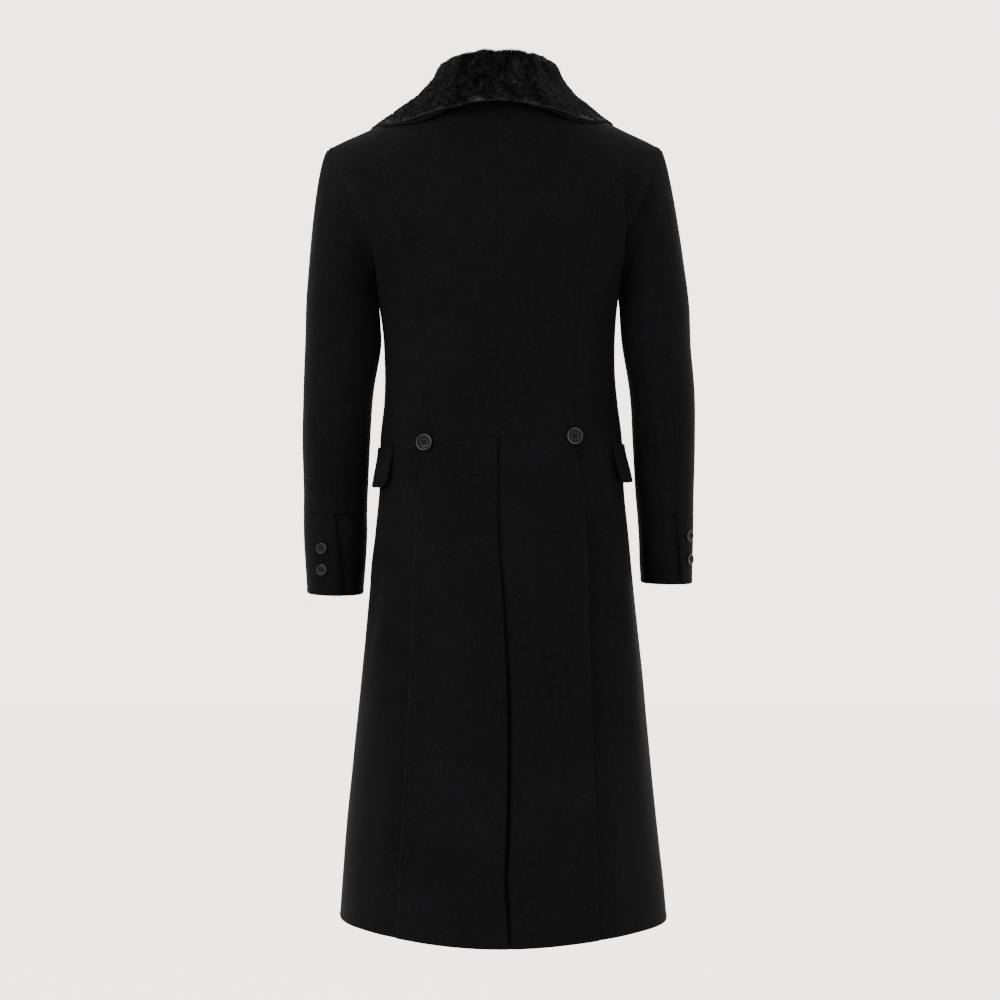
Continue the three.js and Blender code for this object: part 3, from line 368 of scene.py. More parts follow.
def chain(*parts):
    """Lines joined end to end with a corner between them."""
    later = [line(points, shares)[1:] for points, shares in parts[1:]]
    return np.concatenate([line(*parts[0]), *later])


CLOTH_STEP = 5  # the usual distance between a grid's points
EDGE_STEPS = np.array([0, 0.5, 1.2, 2.2, 3.6, 5.4, 7.6])  # points beside an edge, where the cloth turns


def spaced(length, step, start=False, end=False, power=1.0):
    """Shares of a length, even but for finer steps beside an edge; a power crowds them at 0."""
    even = length * np.linspace(0, 1, int(round(length / step)) + 1) ** power
    clear = EDGE_STEPS[-1] + step * 0.4
    inner = even[(even > (clear if start else -1)) & (even < length - (clear if end else -1))]
    parts = [EDGE_STEPS] if start else []
    parts.append(inner)
    if end:
        parts.append(length - EDGE_STEPS[::-1])
    return np.concatenate(parts) / length


def filled(left, right, top, bottom):
    """Patch of (angle, height) between four lines: the ruling from left to right, plus what the top
    and the bottom line differ from it at the ends, which dies away by the square inside."""

    def shares(edge):
        """Shares of an edge's length at its points."""
        runs = line_runs(edge)
        return runs / runs[-1]

    v = ((shares(left) + shares(right)) / 2)[:, None, None]
    u = ((shares(top) + shares(bottom)) / 2)[None, :, None]
    sides = (1 - u) * left[:, None] + u * right[:, None]
    return sides + (1 - v) ** 2 * (top[None] - sides[:1]) + v**2 * (bottom[None] - sides[-1:])


class Seams:
    """The seam lines of one side of the coat."""

    def __init__(self, sign):
        self.sign = sign
        self.share = SHOULDER_TIP[sign] / SHOULDER_SCALE
        self.tip = TIP_REACH * self.share
        self.neck = NECK_REACH * self.share
        self.armhole_back = np.column_stack([sign * ARMHOLE[:, 0], ARMHOLE[:, 2]])
        self.armhole_front = np.column_stack([sign * ARMHOLE[:, 1], ARMHOLE[:, 2]])
        self.armhole_back[0] = self.ridge(self.tip, "back")
        self.armhole_front[0] = self.ridge(self.tip, "front")
        x, z = np.array(PRINCESS[sign], float).T
        self.princess = np.column_stack([angle_at(x, z), z])
        self.princess[0] = self.armhole_back[PRINCESS_STEP]
        self.waist = self.princess[-1]

    def ridge(self, reach, face):
        """The point of the shoulder ridge at this reach from the middle."""
        x = np.array(self.sign * reach, float)
        z = ridge_height(x)
        return np.array([angle_at(x, z, face, self.sign), z])

    def shoulder(self, face):
        """The shoulder seam along the ridge, from the neck to the tip."""
        reach = np.linspace(self.neck, self.tip, 9)
        return np.array([self.ridge(r, face) for r in reach])

    def pleat_angle(self, z):
        """The angle of the pleat's line at a height."""
        return angle_at(PLEAT[self.sign](z), z)

    def pleat(self, top):
        """The pleat's line from the waist button to the hem."""
        z = np.linspace(self.waist[1], HEM, 40)
        z[-1] = hem_at(self.pleat_angle(np.array(float(HEM))))
        points = np.column_stack([self.pleat_angle(z), z])
        points[0] = top
        return points

    def centre(self, top, foot):
        """The centre line between two heights."""
        z = np.linspace(top, foot, 40)
        return np.column_stack([angle_at(CENTRE(z), z), z])

    def underarm(self, top, foot):
        """The underarm seam between two heights: below the armhole it eases over to the side angle."""
        z = np.linspace(top, foot, 40)
        start = self.armhole_front[SIDE_STEP][0]
        ease = ramp(ARMPIT, ARMPIT - SIDE_EASE, z)
        return np.column_stack([start + (self.sign * SIDE_ANGLE - start) * ease, z])

    def hem(self, start, end, shares):
        """The hem between two angles."""
        angle = start + (end - start) * shares
        return np.column_stack([angle, hem_at(angle)])


# The wool. Heavy milled melton, black with a slight blue cast, its weave hidden under a short nap.
# Its pieces are single walls whose seams are pressed open and topstitched, so that beside each
# seam lies a low welt and at the seam itself a groove.
CLOTH = 2.5
LAYER_GAP = 0.9
STITCH_LINE = 6.5  # from the seam
STITCH = 3.4  # length of one stitch with its gap
STITCH_SHARE = 0.74
WELT = 0.55
WELT_RISE = (0.6, 2.2)
WELT_FALL = (1.2, -0.8)  # past the stitch line
GROOVE = 0.75
GROOVE_WIDTH = 1.1
NO_SEAM = 1e3  # the distance from a seam where there is none
CLOTH_WAVES = [(7, 150, 0.9), (11, 46, 0.22)]  # seed, length and depth of the cloth's unevenness
WOOL = (0.0012, 0.0012, 0.0015)
WOOL_DEEP = (0.0003, 0.0003, 0.0004)
WOOL_NAP = (0.0022, 0.0022, 0.0027)


class Shade:
    """A socket of a material's node tree that takes part in plain arithmetic."""

    def __init__(self, tree, socket):
        self.tree = tree
        self.socket = socket

    def _math(self, operation, *terms, clamp=False):
        """A Math node with these terms, each a shade or a number."""
        node = self.tree.nodes.new("ShaderNodeMath")
        node.operation = operation
        node.use_clamp = clamp
        for slot, term in zip(node.inputs, terms):
            if isinstance(term, Shade):
                self.tree.links.new(term.socket, slot)
            else:
                slot.default_value = term
        return Shade(self.tree, node.outputs[0])

    def __add__(self, other):
        return self._math("ADD", self, other)

    def __sub__(self, other):
        return self._math("SUBTRACT", self, other)

    def __rsub__(self, other):
        return self._math("SUBTRACT", other, self)

    def __mul__(self, other):
        return self._math("MULTIPLY", self, other)

    def __truediv__(self, other):
        return self._math("DIVIDE", self, other)

    __radd__ = __add__
    __rmul__ = __mul__

    def absolute(self):
        """The value without its sign."""
        return self._math("ABSOLUTE", self)

    def fraction(self):
        """What is left over a whole number."""
        return self._math("FRACT", self)

    def clamped(self):
        """The value kept between 0 and 1."""
        return self._math("ADD", self, 0.0, clamp=True)

    def below(self, limit):
        """1 under the limit and 0 over it."""
        return self._math("LESS_THAN", self, limit)


class Finish:
    """A procedural material with one Principled shader."""

    def __init__(self, name, color, roughness, **constants):
        self.material = bpy.data.materials.new(name)
        self.material.use_nodes = True
        self.tree = self.material.node_tree
        self.shader = self.tree.nodes["Principled BSDF"]
        self.shader.inputs["Base Color"].default_value = (*color, 1)
        self.shader.inputs["Roughness"].default_value = roughness
        for key, value in constants.items():
            self.shader.inputs[key.replace("_", " ")].default_value = value

    def node(self, kind, settings=None, output=0, **sockets):
        """Adds a node of a type, with its settings and its sockets, and gives one output."""
        made = self.tree.nodes.new(kind)
        for key, value in (settings or {}).items():
            setattr(made, key, value)
        for key, value in sockets.items():
            slot = made.inputs[key.replace("_", " ")]
            if isinstance(value, Shade):
                self.tree.links.new(value.socket, slot)
            else:
                slot.default_value = value
        return Shade(self.tree, made.outputs[output])

    def place(self):
        """Object coordinates."""
        return self.node("ShaderNodeTexCoord", output="Object")

    def attribute(self, name):
        """A named number that the mesh holds at each point."""
        return self.node("ShaderNodeAttribute", {"attribute_name": name}, output="Fac")

    def feed(self, name, value):
        """Links a value to the shader's socket of this name."""
        self.tree.links.new(value.socket, self.shader.inputs[name])

    def blend(self, name, share, low, high):
        """Feeds a colour between two others by a share."""
        made = self.node("ShaderNodeMix", {"data_type": "RGBA"}, output=2, Factor=share)
        mix = made.socket.node
        mix.inputs["A"].default_value = (*low, 1)
        mix.inputs["B"].default_value = (*high, 1)
        self.feed(name, made)

    def relief(self, height, distance, strength=1.0):
        """Feeds a height to the shader as bump."""
        self.feed("Normal", self.node("ShaderNodeBump", Height=height, Distance=distance, Strength=strength))


def wool_finish(name):
    """Black melton: nap noise in two sizes, cloudy tone, and a row of sunk stitches."""
    finish = Finish(
        name,
        WOOL,
        0.9,
        Sheen_Weight=0.006,
        Sheen_Roughness=0.4,
        Sheen_Tint=(0.8, 0.82, 0.9, 1),
        Specular_IOR_Level=0.02,
    )
    place = finish.place()
    nap = finish.node("ShaderNodeTexNoise", Vector=place, Scale=900.0, Detail=3.0, Roughness=0.62)
    felt = finish.node("ShaderNodeTexNoise", Vector=place, Scale=170.0, Detail=4.0, Roughness=0.6)
    cloud = finish.node("ShaderNodeTexNoise", Vector=place, Scale=9.0, Detail=3.0, Roughness=0.5)
    shade = cloud * 0.5 + felt * 0.8 + nap * 0.8 - 0.58
    finish.blend("Base Color", shade.clamped(), WOOL_DEEP, WOOL_NAP)
    height = felt * 0.6 + nap * 0.4
    away = (finish.attribute("stitch_gap") - STITCH_LINE).absolute()
    stitch = (finish.attribute("stitch_run") / STITCH).fraction().below(STITCH_SHARE)
    height = height - (1 - away / 0.8).clamped() * (stitch * 0.8 + 0.6)
    finish.relief(height, 0.00045, 0.75)
    return finish.material


wool = wool_finish("black_melton")

# Small creases that only the cloth's surface has, drawn where they show from behind: both ends
# as x and height, half width, and depth.
CREASES = [
    [-154, -560, -174, -665, 9, 2.5],
    [-150, -700, -172, -770, 11, 2.0],
    [172, -120, 178, -215, 5, -3.6],
    [-168, -300, -120, -345, 10, -1.6],
    [-160, -345, -118, -372, 9, 1.2],
    [165, -300, 122, -338, 10, -1.6],
    [160, -352, 118, -380, 9, 1.1],
    [-60, -432, -12, -424, 9, -0.9],
    [20, -420, 82, -428, 10, -0.9],
    [-90, -505, -60, -620, 12, -1.6],
    [84, -500, 66, -640, 13, -1.8],
    [-30, -20, -36, -60, 12, -0.8],
    [-150, -60, -178, -98, 11, -1.4],
    [150, -58, 175, -92, 11, -1.4],
    [-140, -860, -150, -1080, 16, 2.0],
    [142, -880, 158, -1110, 16, 2.2],
    [60, -760, 52, -1120, 18, 1.6],
    [-62, -740, -72, -1100, 18, 1.6],
]
WAVES = 5  # sine waves that add up to the cloth's soft unevenness


def creased(p, n, creases):
    """Each crease falls off with distance from its line as seen from behind, and at its ends."""
    facing = np.clip(-n[..., 1] * 2.2, 0, 1)
    total = np.zeros(p.shape[:-1])
    for x0, z0, x1, z1, wide, depth in creases:
        along = np.array([x1 - x0, z1 - z0], float)
        rel = np.stack([p[..., 0] - x0, p[..., 2] - z0], -1)
        t = (rel @ along) / (along @ along)
        bend = 0.12 * wide * np.sin(t * 5.0)
        off = (rel[..., 0] * along[1] - rel[..., 1] * along[0]) / np.hypot(*along) + bend
        ends = ramp(-0.25, 0.2, t) * ramp(1.25, 0.8, t)
        total += depth * np.exp(-((off / wide) ** 2)) * ends
    return total * facing


def uneven(p, seed, size, depth):
    """Soft unevenness: a sum of slow sine waves in turned directions."""
    draw = np.random.default_rng(seed)
    total = np.zeros(p.shape[:-1])
    for _ in range(WAVES):
        way = draw.normal(size=3) * [1, 1, 0.55]
        total += np.sin(p @ way * (2 * np.pi / (size * np.linalg.norm(way))) + draw.uniform(0, 6.3))
    return depth * total / WAVES


def run_lengths(grid, axis):
    """Distances along a grid from its first row or column."""
    steps = np.linalg.norm(np.diff(grid, axis=axis), axis=-1)
    first = np.zeros_like(np.take(steps, [0], axis=axis))
    return np.concatenate([first, np.cumsum(steps, axis=axis)], axis=axis)


def cut_of(grid):
    """The flat cut of a grid of cloth: its widest row and longest column, and its area."""
    a = grid[1:, 1:] - grid[:-1, :-1]
    b = grid[1:, :-1] - grid[:-1, 1:]
    area = np.linalg.norm(np.cross(a, b), axis=-1).sum() / 2
    return run_lengths(grid, 1)[:, -1].max() * MM, run_lengths(grid, 0)[-1].max() * MM, area * MM**2


def declare_sheet(grid, rests_on):
    """Works out a piece of cloth's flat cut: its widest row, longest column and area, which nothing uses
    further.
    """
    width, length, area = cut_of(grid)


def wall_mesh(name, outer, inner, material, attributes=None):
    """A closed wall between two grids, with a UV map in metres of cloth and named attributes."""
    rows, cols = outer.shape[:2]
    points = np.concatenate([outer.reshape(-1, 3), inner.reshape(-1, 3)]) * MM
    index = np.arange(rows * cols).reshape(rows, cols)
    a, b, c, d = index[:-1, :-1], index[1:, :-1], index[1:, 1:], index[:-1, 1:]
    under = rows * cols
    faces = [np.stack([a, b, c, d], -1).reshape(-1, 4), np.stack([d, c, b, a], -1).reshape(-1, 4) + under]
    rim = np.concatenate([index[0, :], index[1:, -1], index[-1, -2::-1], index[-2:0:-1, 0]])
    after = np.roll(rim, -1)
    faces.append(np.stack([rim, after, after + under, rim + under], -1))
    faces = np.concatenate(faces)
    corners = points[faces]
    volume = np.einsum("ij,ij->i", corners[:, 0], np.cross(corners[:, 1], corners[:, 2])).sum()
    volume += np.einsum("ij,ij->i", corners[:, 0], np.cross(corners[:, 2], corners[:, 3])).sum()
    if volume < 0:
        faces = faces[:, ::-1]
    mesh = bpy.data.meshes.new(name)
    mesh.from_pydata(points.tolist(), [], faces.tolist())
    mesh.polygons.foreach_set("use_smooth", np.ones(len(faces), bool))
    uv = np.stack([run_lengths(outer, 1), run_lengths(outer, 0)], -1).reshape(-1, 2) * MM
    uv = np.concatenate([uv, uv])
    corner = np.empty(len(mesh.loops), np.int32)
    mesh.loops.foreach_get("vertex_index", corner)
    mesh.uv_layers.new(name="cloth").data.foreach_set("uv", uv[corner].ravel())
    for key, values in (attributes or {}).items():
        inside = values.ravel() + (NO_SEAM if key == "stitch_gap" else 0)
        both = np.concatenate([values.ravel(), inside])
        mesh.attributes.new(key, "FLOAT", "POINT").data.foreach_set("value", both.astype(np.float32))
    mesh.materials.append(material)
    piece = bpy.data.objects.new(name, mesh)
    bpy.context.scene.collection.objects.link(piece)
    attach(piece, "root")
    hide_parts(name.replace("_cloth", ""))
    return piece


def seam_relief(gap, kind):
    """Groove at a seam and the welt beside it; a free edge is only rounded off."""
    groove = GROOVE * np.exp(-((gap / GROOVE_WIDTH) ** 2))
    fall = ramp(STITCH_LINE + WELT_FALL[0], STITCH_LINE + WELT_FALL[1], gap)
    welt = WELT * ramp(*WELT_RISE, gap) * fall
    rises = {"welt": welt - groove, "seam": -groove, "free": 0.8 * welt - 0.8 * groove, "": 0 * gap}
    return rises[kind]


def cloth_panel(name, outer, n, edges, creases=(), hangs_from=()):
    """edges names what lies along the grid's left, right, top and bottom sides."""
    across_run, down_run = run_lengths(outer, 1), run_lengths(outer, 0)
    gaps = [
        across_run,
        across_run[:, -1:] - across_run,
        down_run,
        down_run[-1:] - down_run,
    ]
    runs = [down_run, down_run, across_run, across_run]
    rise = sum(seam_relief(gap, kind) for gap, kind in zip(gaps, edges))
    for seed, size, depth in CLOTH_WAVES:
        rise = rise + uneven(outer, seed, size, depth)
    if len(creases):
        rise = rise + creased(outer, n, creases)
    stitched = [k for k, kind in enumerate(edges) if kind in ("welt", "free")]
    gap = np.full(outer.shape[:2], NO_SEAM)
    run = np.zeros(outer.shape[:2])
    for k in stitched:
        nearer = gaps[k] < gap
        gap = np.where(nearer, gaps[k], gap)
        run = np.where(nearer, runs[k], run)
    raised = outer + n * rise[..., None]
    attributes = {"stitch_gap": gap, "stitch_run": run}
    piece = wall_mesh(name, raised, raised - n * CLOTH, wool, attributes)
    declare_sheet(outer, [node + "_" + name.split("_")[-2] for node in hangs_from])


# Back. Two panels joined down the centre, shaped over the shoulder blades by the curved seams
# from the armholes to the waist buttons.
NECK_COLS = spaced(92, CLOTH_STEP, start=True)
SHOULDER_COLS = spaced(165, CLOTH_STEP, end=True)
ROLL_ROWS = spaced(60, 3, power=1.9)
BACK_ROWS = spaced(400, CLOTH_STEP, end=True)
ROLL_SHARE = 0.105  # how much of the centre seam lies over the shoulder roll
NECK_SHARE = 0.36  # how much of the panel's width the neck takes
for sign in (-1, 1):
    seams = Seams(sign)
    x = sign * seams.share * BACK_NECK[:, 0]
    z = np.minimum(BACK_NECK[:, 1], ridge_height(x))
    neck = np.column_stack([angle_at(x, z), z])
    neck[0] = [angle_at(CENTRE(0.0), BACK_NECK[0, 1]), BACK_NECK[0, 1]]
    top = chain((neck, NECK_COLS), (seams.shoulder("back"), SHOULDER_COLS))
    split = BACK_NECK[0, 1] + ROLL_SHARE * (WAIST_CENTRE - BACK_NECK[0, 1])
    centre = chain(
        (seams.centre(BACK_NECK[0, 1], split), ROLL_ROWS),
        (seams.centre(split, WAIST_CENTRE), BACK_ROWS),
    )
    outer_edge = chain((seams.armhole_back[: PRINCESS_STEP + 1], ROLL_ROWS), (seams.princess, BACK_ROWS))
    middle = centre[-1] + (seams.waist - centre[-1]) * NECK_SHARE
    bottom = chain(([centre[-1], middle], NECK_COLS), ([middle, seams.waist], SHOULDER_COLS))
    grid, n = on_body(*np.moveaxis(filled(centre, outer_edge, top, bottom), -1, 0))
    edges = ["seam", "welt", "seam", "seam"]
    cloth_panel("back_" + SIDE_NAME[sign] + "_cloth", grid, n, edges, CREASES, ["front"])

# Back skirt. It hangs from the waist seam, laps over the side at the pleat under each button, and
# at the centre vent the left one lies over the right one.
VENT_TOP = -614
VENT_LAP = 34
VENT_LAP_TOP = 7
VENT_SLOPE = 9
VENT_SHADOW = 2.6  # how many times deeper the under layer lies halfway down
PLEAT_LAP = {-1: 22, 1: 26}
PLEAT_SLOPE = 9
PLEAT_DROP = 6
PLEAT_SHADOW = {-1: 0.6, 1: 4}  # how much deeper the side's edge lies halfway down
SKIRT_COLS = spaced(125, CLOTH_STEP, start=True, end=True)
SKIRT_ROWS = spaced(672, 6, start=True, end=True)
for sign in (-1, 1):
    seams = Seams(sign)
    centre = line(seams.centre(WAIST_CENTRE, HEM), SKIRT_ROWS)
    pleat = line(seams.pleat(seams.waist), SKIRT_ROWS)
    top = line([centre[0], seams.waist], SKIRT_COLS)
    hem = seams.hem(centre[-1][0], pleat[-1][0], SKIRT_COLS)
    cells = filled(centre, pleat, top, hem)
    height = np.zeros(cells.shape[:2])
    edges = ["free", "free", "seam", "free"]
    if sign > 0:
        z = cells[:, :1, 1]
        lap = VENT_LAP_TOP + (VENT_LAP - VENT_LAP_TOP) * ramp(WAIST_CENTRE, VENT_TOP, z)
        x = CENTRE(z) - lap * np.linspace(1, 0.05, 8)
        under = np.stack([angle_at(x, z + 0 * x), z + 0 * x], -1)
        cells = np.concatenate([under, cells], axis=1)
        z = cells[..., 1]
        deep = 1 + (VENT_SHADOW - 1) * bump(VENT_TOP + 60, HEM - 200, z)
        past = torso(cells[..., 0], z)[..., 0] - CENTRE(z)
        height = -(CLOTH + LAYER_GAP) * deep * ramp(VENT_SLOPE, LAYER_GAP, past)
        edges[0] = "seam"
    grid, n = on_body(cells[..., 0], cells[..., 1], height)
    cloth_panel("back_skirt_" + SIDE_NAME[sign] + "_cloth", grid, n, edges, CREASES, ["back"])

# Sides. Each runs from the armhole to the hem in one piece; below the waist button its back edge
# folds in under the back skirt as a deep pleat.
SIDE_COLS = spaced(150, CLOTH_STEP, start=True, end=True)
SIDE_ROWS = spaced(400, CLOTH_STEP, start=True)
for sign in (-1, 1):
    seams = Seams(sign)
    underarm_top = seams.armhole_front[SIDE_STEP : SIDE_STEP + 1]
    armhole = np.concatenate([seams.armhole_back[PRINCESS_STEP:], underarm_top])
    start = seams.armhole_front[SIDE_STEP][1]
    waist_end = seams.underarm(start, WAIST)[-1]
    waist_row = line([seams.waist, waist_end], SIDE_COLS)
    back_line = line(seams.princess, SIDE_ROWS)
    front_line = line(seams.underarm(start, WAIST), SIDE_ROWS)
    upper = filled(back_line, front_line, line(armhole, SIDE_COLS), waist_row)
    pleat = line(seams.pleat(seams.waist), SKIRT_ROWS)
    skirt_side = line(seams.underarm(WAIST, hem_at(SIDE_ANGLE)), SKIRT_ROWS)
    hem = seams.hem(pleat[-1][0], skirt_side[-1][0], SIDE_COLS)
    lower = filled(pleat, skirt_side, waist_row, hem)
    cells = np.concatenate([upper, lower[1:]])
    foot = seams.waist[1]
    z = cells[:, :1, 1]
    below = (np.arange(len(cells)) >= len(upper))[:, None]
    lap = np.where(below, PLEAT_LAP[sign] / DEGREE_RUN * ramp(foot - PLEAT_DROP, foot - 90, z), 0)
    shares = np.linspace(1, 0.12, 6)
    tiny = 0.02 * shares
    under = np.stack([cells[:, :1, 0] - sign * (lap * shares + tiny), z + 0 * shares], -1)
    cells = np.concatenate([under, cells], axis=1)
    away = np.abs(cells[..., 0]) - np.abs(seams.pleat_angle(cells[..., 1]))
    drop = CLOTH + LAYER_GAP + PLEAT_SHADOW[sign] * bump(HEM + 150, foot, cells[..., 1])
    sunk = -drop * ramp(PLEAT_SLOPE, 0.4, away) * ramp(foot - 0.5, foot - PLEAT_DROP + 0.5, cells[..., 1])
    grid, n = on_body(cells[..., 0], cells[..., 1], np.where(below, sunk, 0))
    edges = ["seam", "seam", "seam", "free"]
    cloth_panel("side_" + SIDE_NAME[sign] + "_cloth", grid, n, edges, CREASES, ["back", "front"])

# Fronts. Hidden in the photograph: a double-breasted front, the left one over the right one, each
# cut away above along the line where its lapel turns back.
FRONT_SLOPE = 34
LAPEL_WRAP = 9
BREAK_Z = -305
FRONT_COLS = spaced(250, 6, start=True, end=True)
FRONT_RIDGE_ROWS = spaced(26, 2, power=1.9)
FRONT_ARM_ROWS = spaced(240, CLOTH_STEP)
FRONT_BODY_ROWS = spaced(860, 7, end=True)


def roll_point(sign, step):
    """A point of the roll line; the right one is its mirror image, fitted to its own shoulder."""
    share = SHOULDER_TIP[sign] / SHOULDER_SCALE
    fit = np.where(step < 4, share + (1 - share) * step / 4, 1)
    return -sign * ROLL_X(step) * fit, ROLL_Z(step)


def right_drop(angle, z):
    """The right front sinks under the left one from a little outside the left one's edge."""
    x = torso(angle, z)[..., 0]
    edge = np.where(z > BREAK_Z, ROLL_AT(z), FRONT_EDGE(z))
    return -(CLOTH + 2 * LAYER_GAP) * ramp(FRONT_SLOPE, LAPEL_WRAP, x - edge)


for sign in (-1, 1):
    seams = Seams(sign)
    armhole = seams.armhole_front[: SIDE_STEP + 1]
    start = armhole[-1][1]
    outer_edge = chain(
        (armhole[:2], FRONT_RIDGE_ROWS),
        (armhole[1:], FRONT_ARM_ROWS),
        (seams.underarm(start, hem_at(SIDE_ANGLE)), FRONT_BODY_ROWS),
    )
    x, z = roll_point(sign, np.linspace(0, 8, 33))
    roll = np.column_stack([angle_at(x, z, "front", sign), z])
    roll[0] = seams.ridge(seams.neck, "front")
    z = np.linspace(BREAK_Z, HEM + HEM_RISE, 40)
    edge = np.column_stack([angle_at(-sign * FRONT_EDGE(z), z, "front", sign), z])
    inner_edge = chain(
        (roll[:4], FRONT_RIDGE_ROWS),
        (roll[3:], FRONT_ARM_ROWS),
        (edge, FRONT_BODY_ROWS),
    )
    top = line(seams.shoulder("front")[::-1], FRONT_COLS)
    bottom = line([outer_edge[-1], inner_edge[-1]], FRONT_COLS)
    cells = filled(outer_edge, inner_edge, top, bottom)
    height = right_drop(cells[..., 0], cells[..., 1]) if sign > 0 else np.zeros(cells.shape[:2])
    grid, n = on_body(cells[..., 0], cells[..., 1], height)
    edges = ["seam", "free", "seam", "free"]
    cloth_panel("front_" + SIDE_NAME[sign] + "_cloth", grid, n, edges, hangs_from=["back"])

# Sleeves, each of two pieces joined down the back and the front, set into the armhole a little
# full so that the head stands out before it falls. The arms hang beside the body.
BICEP = -310
CUFF_SEAM = -579
BACK_SEAM_STEP = 5  # armhole steps at which the two pieces of a sleeve meet
FRONT_SEAM_STEP = 7
HEAD_PULL = {-1: 57, 1: 30}
ARM = {
    -1: smooth_table(
        ["z", "middle", "wide", "deep", "forward", "turn"],
        [
            [-310, -220, 52, 70, 0, 8],
            [-345, -220, 53, 69, 1, 7],
            [-410, -226.5, 49, 66, 5, 5],
            [-480, -229.5, 47.5, 63, 11, 3],
            [-546, -231, 45, 59, 18, 0],
            [-579, -232, 44.6, 56.5, 22, -4],
            [-613, -232.2, 44.3, 54.5, 26, -9],
            [-655, -232.4, 42, 53, 31, -15],
            [-690, -233, 39.5, 52, 35, -19],
        ],
    ),
    1: smooth_table(
        ["z", "middle", "wide", "deep", "forward", "turn"],
        [
            [-310, 217, 49, 70, 0, 9],
            [-345, 219, 48, 69, 1, 10],
            [-410, 227, 45.5, 66, 5, 12],
            [-480, 230, 44, 63, 11, 14],
            [-546, 232, 41.5, 59, 18, 16],
            [-579, 233.5, 39.8, 56.5, 22, 17],
            [-613, 234.5, 38.5, 54.5, 26, 22],
            [-655, 234.8, 37.5, 53, 31, 27],
            [-690, 236, 35.5, 52, 35, 31],
        ],
    ),
}
# Armhole step, how far round the arm it leads, and how sharply the cloth folds back at the seam.
HEAD = smooth_table(
    ["step", "turn", "fold"],
    [
        [0, 90, 0],
        [0.25, 83, 0],
        [0.6, 75, 0],
        [1, 66, 0],
        [2, 51, 0],
        [3, 35, 0],
        [4, 18, 4],
        [5, 0, 14],
        [6, -18, 35],
        [7, -36, 70],
        [8, -54, 115],
        [9, -72, 155],
        [10, -90, 180],
    ],
)
HEAD_ROWS = np.linspace(0, 1, 46) ** 1.35
ARMHOLE_COLS = 4.5  # the distance between a sleeve's columns at the armhole
ARM_ROWS = BICEP + (CUFF_SEAM - BICEP) * spaced(BICEP - CUFF_SEAM, CLOTH_STEP, end=True)[1:]
SLEEVE_CREASES = [
    [186, -262, 214, -232, 6, -3.2],
    [196, -286, 232, -250, 9, 1.8],
    [-198, -250, -232, -226, 12, -1.6],
    [-190, -300, -238, -285, 9, -1.4],
    [-196, -330, -246, -312, 10, 1.2],
    [192, -330, 240, -305, 10, -1.4],
    [-205, -418, -240, -436, 12, -1.3],
    [-200, -452, -236, -458, 12, 1.1],
    [204, -410, 244, -424, 12, -1.3],
    [200, -446, 240, -452, 12, 1.1],
    [-236, -120, -243, -190, 12, -1.4],
    [222, -112, 232, -180, 11, -1.4],
]


def on_arm(sign, z, turn, lift=0.0):
    """A point of the arm. The turn is 0 at the back, 90 outward, 180 at the front, 270 inward."""
    arm = ARM[sign]
    t = np.radians(turn + arm["turn"](z))
    x = arm["middle"](z) + sign * (arm["wide"](z) + lift) * np.sin(t)
    return np.stack([x, arm["forward"](z) - (arm["deep"](z) + lift) * np.cos(t), z + 0 * x], -1)


def turned_along(values):
    """Differences along a closed ring."""
    return np.roll(values, -1, axis=-2) - np.roll(values, 1, axis=-2)


def sleeve_ring(seams):
    """The armhole as a closed ring of points: down the back and up the front."""
    parts = []
    halves = ((seams.armhole_back, BACK_SEAM_STEP), (seams.armhole_front, FRONT_SEAM_STEP))
    for points, split in halves:
        runs = line_runs(points)
        nodes = runs / runs[-1]
        steps = np.arange(len(points), dtype=float)
        cut = nodes[split]
        upper = cut * spaced(cut * runs[-1], ARMHOLE_COLS, end=True)
        lower = cut + (1 - cut) * spaced((1 - cut) * runs[-1], ARMHOLE_COLS, start=True)
        shares = np.concatenate([upper, lower[1:]])
        at = np.interp(shares, nodes, steps)
        parts.append((line(points, shares), at, len(upper) - 1))
    (back, back_at, back_cut), (front, front_at, front_cut) = parts
    ring = np.concatenate([back, front[-2:0:-1]])
    p, n = on_body(ring[:, 0], ring[:, 1])
    turn = np.concatenate([HEAD["turn"](back_at), 180 - HEAD["turn"](front_at[-2:0:-1])])
    fold = np.radians(np.concatenate([HEAD["fold"](back_at), HEAD["fold"](front_at[-2:0:-1])]))[:, None]
    off = -seams.sign * unit(np.cross(unit(turned_along(p)), n))
    rest = fold / np.pi
    return {
        "start": p + unit(off * (1 - rest) + n * rest) * 0.08,
        "inward": -n * np.cos(fold) + off * np.sin(fold),
        "leave": off * np.cos(fold) + n * np.sin(fold),
        "turn": turn,
        "cuts": (back_cut, len(ring) - front_cut),
    }


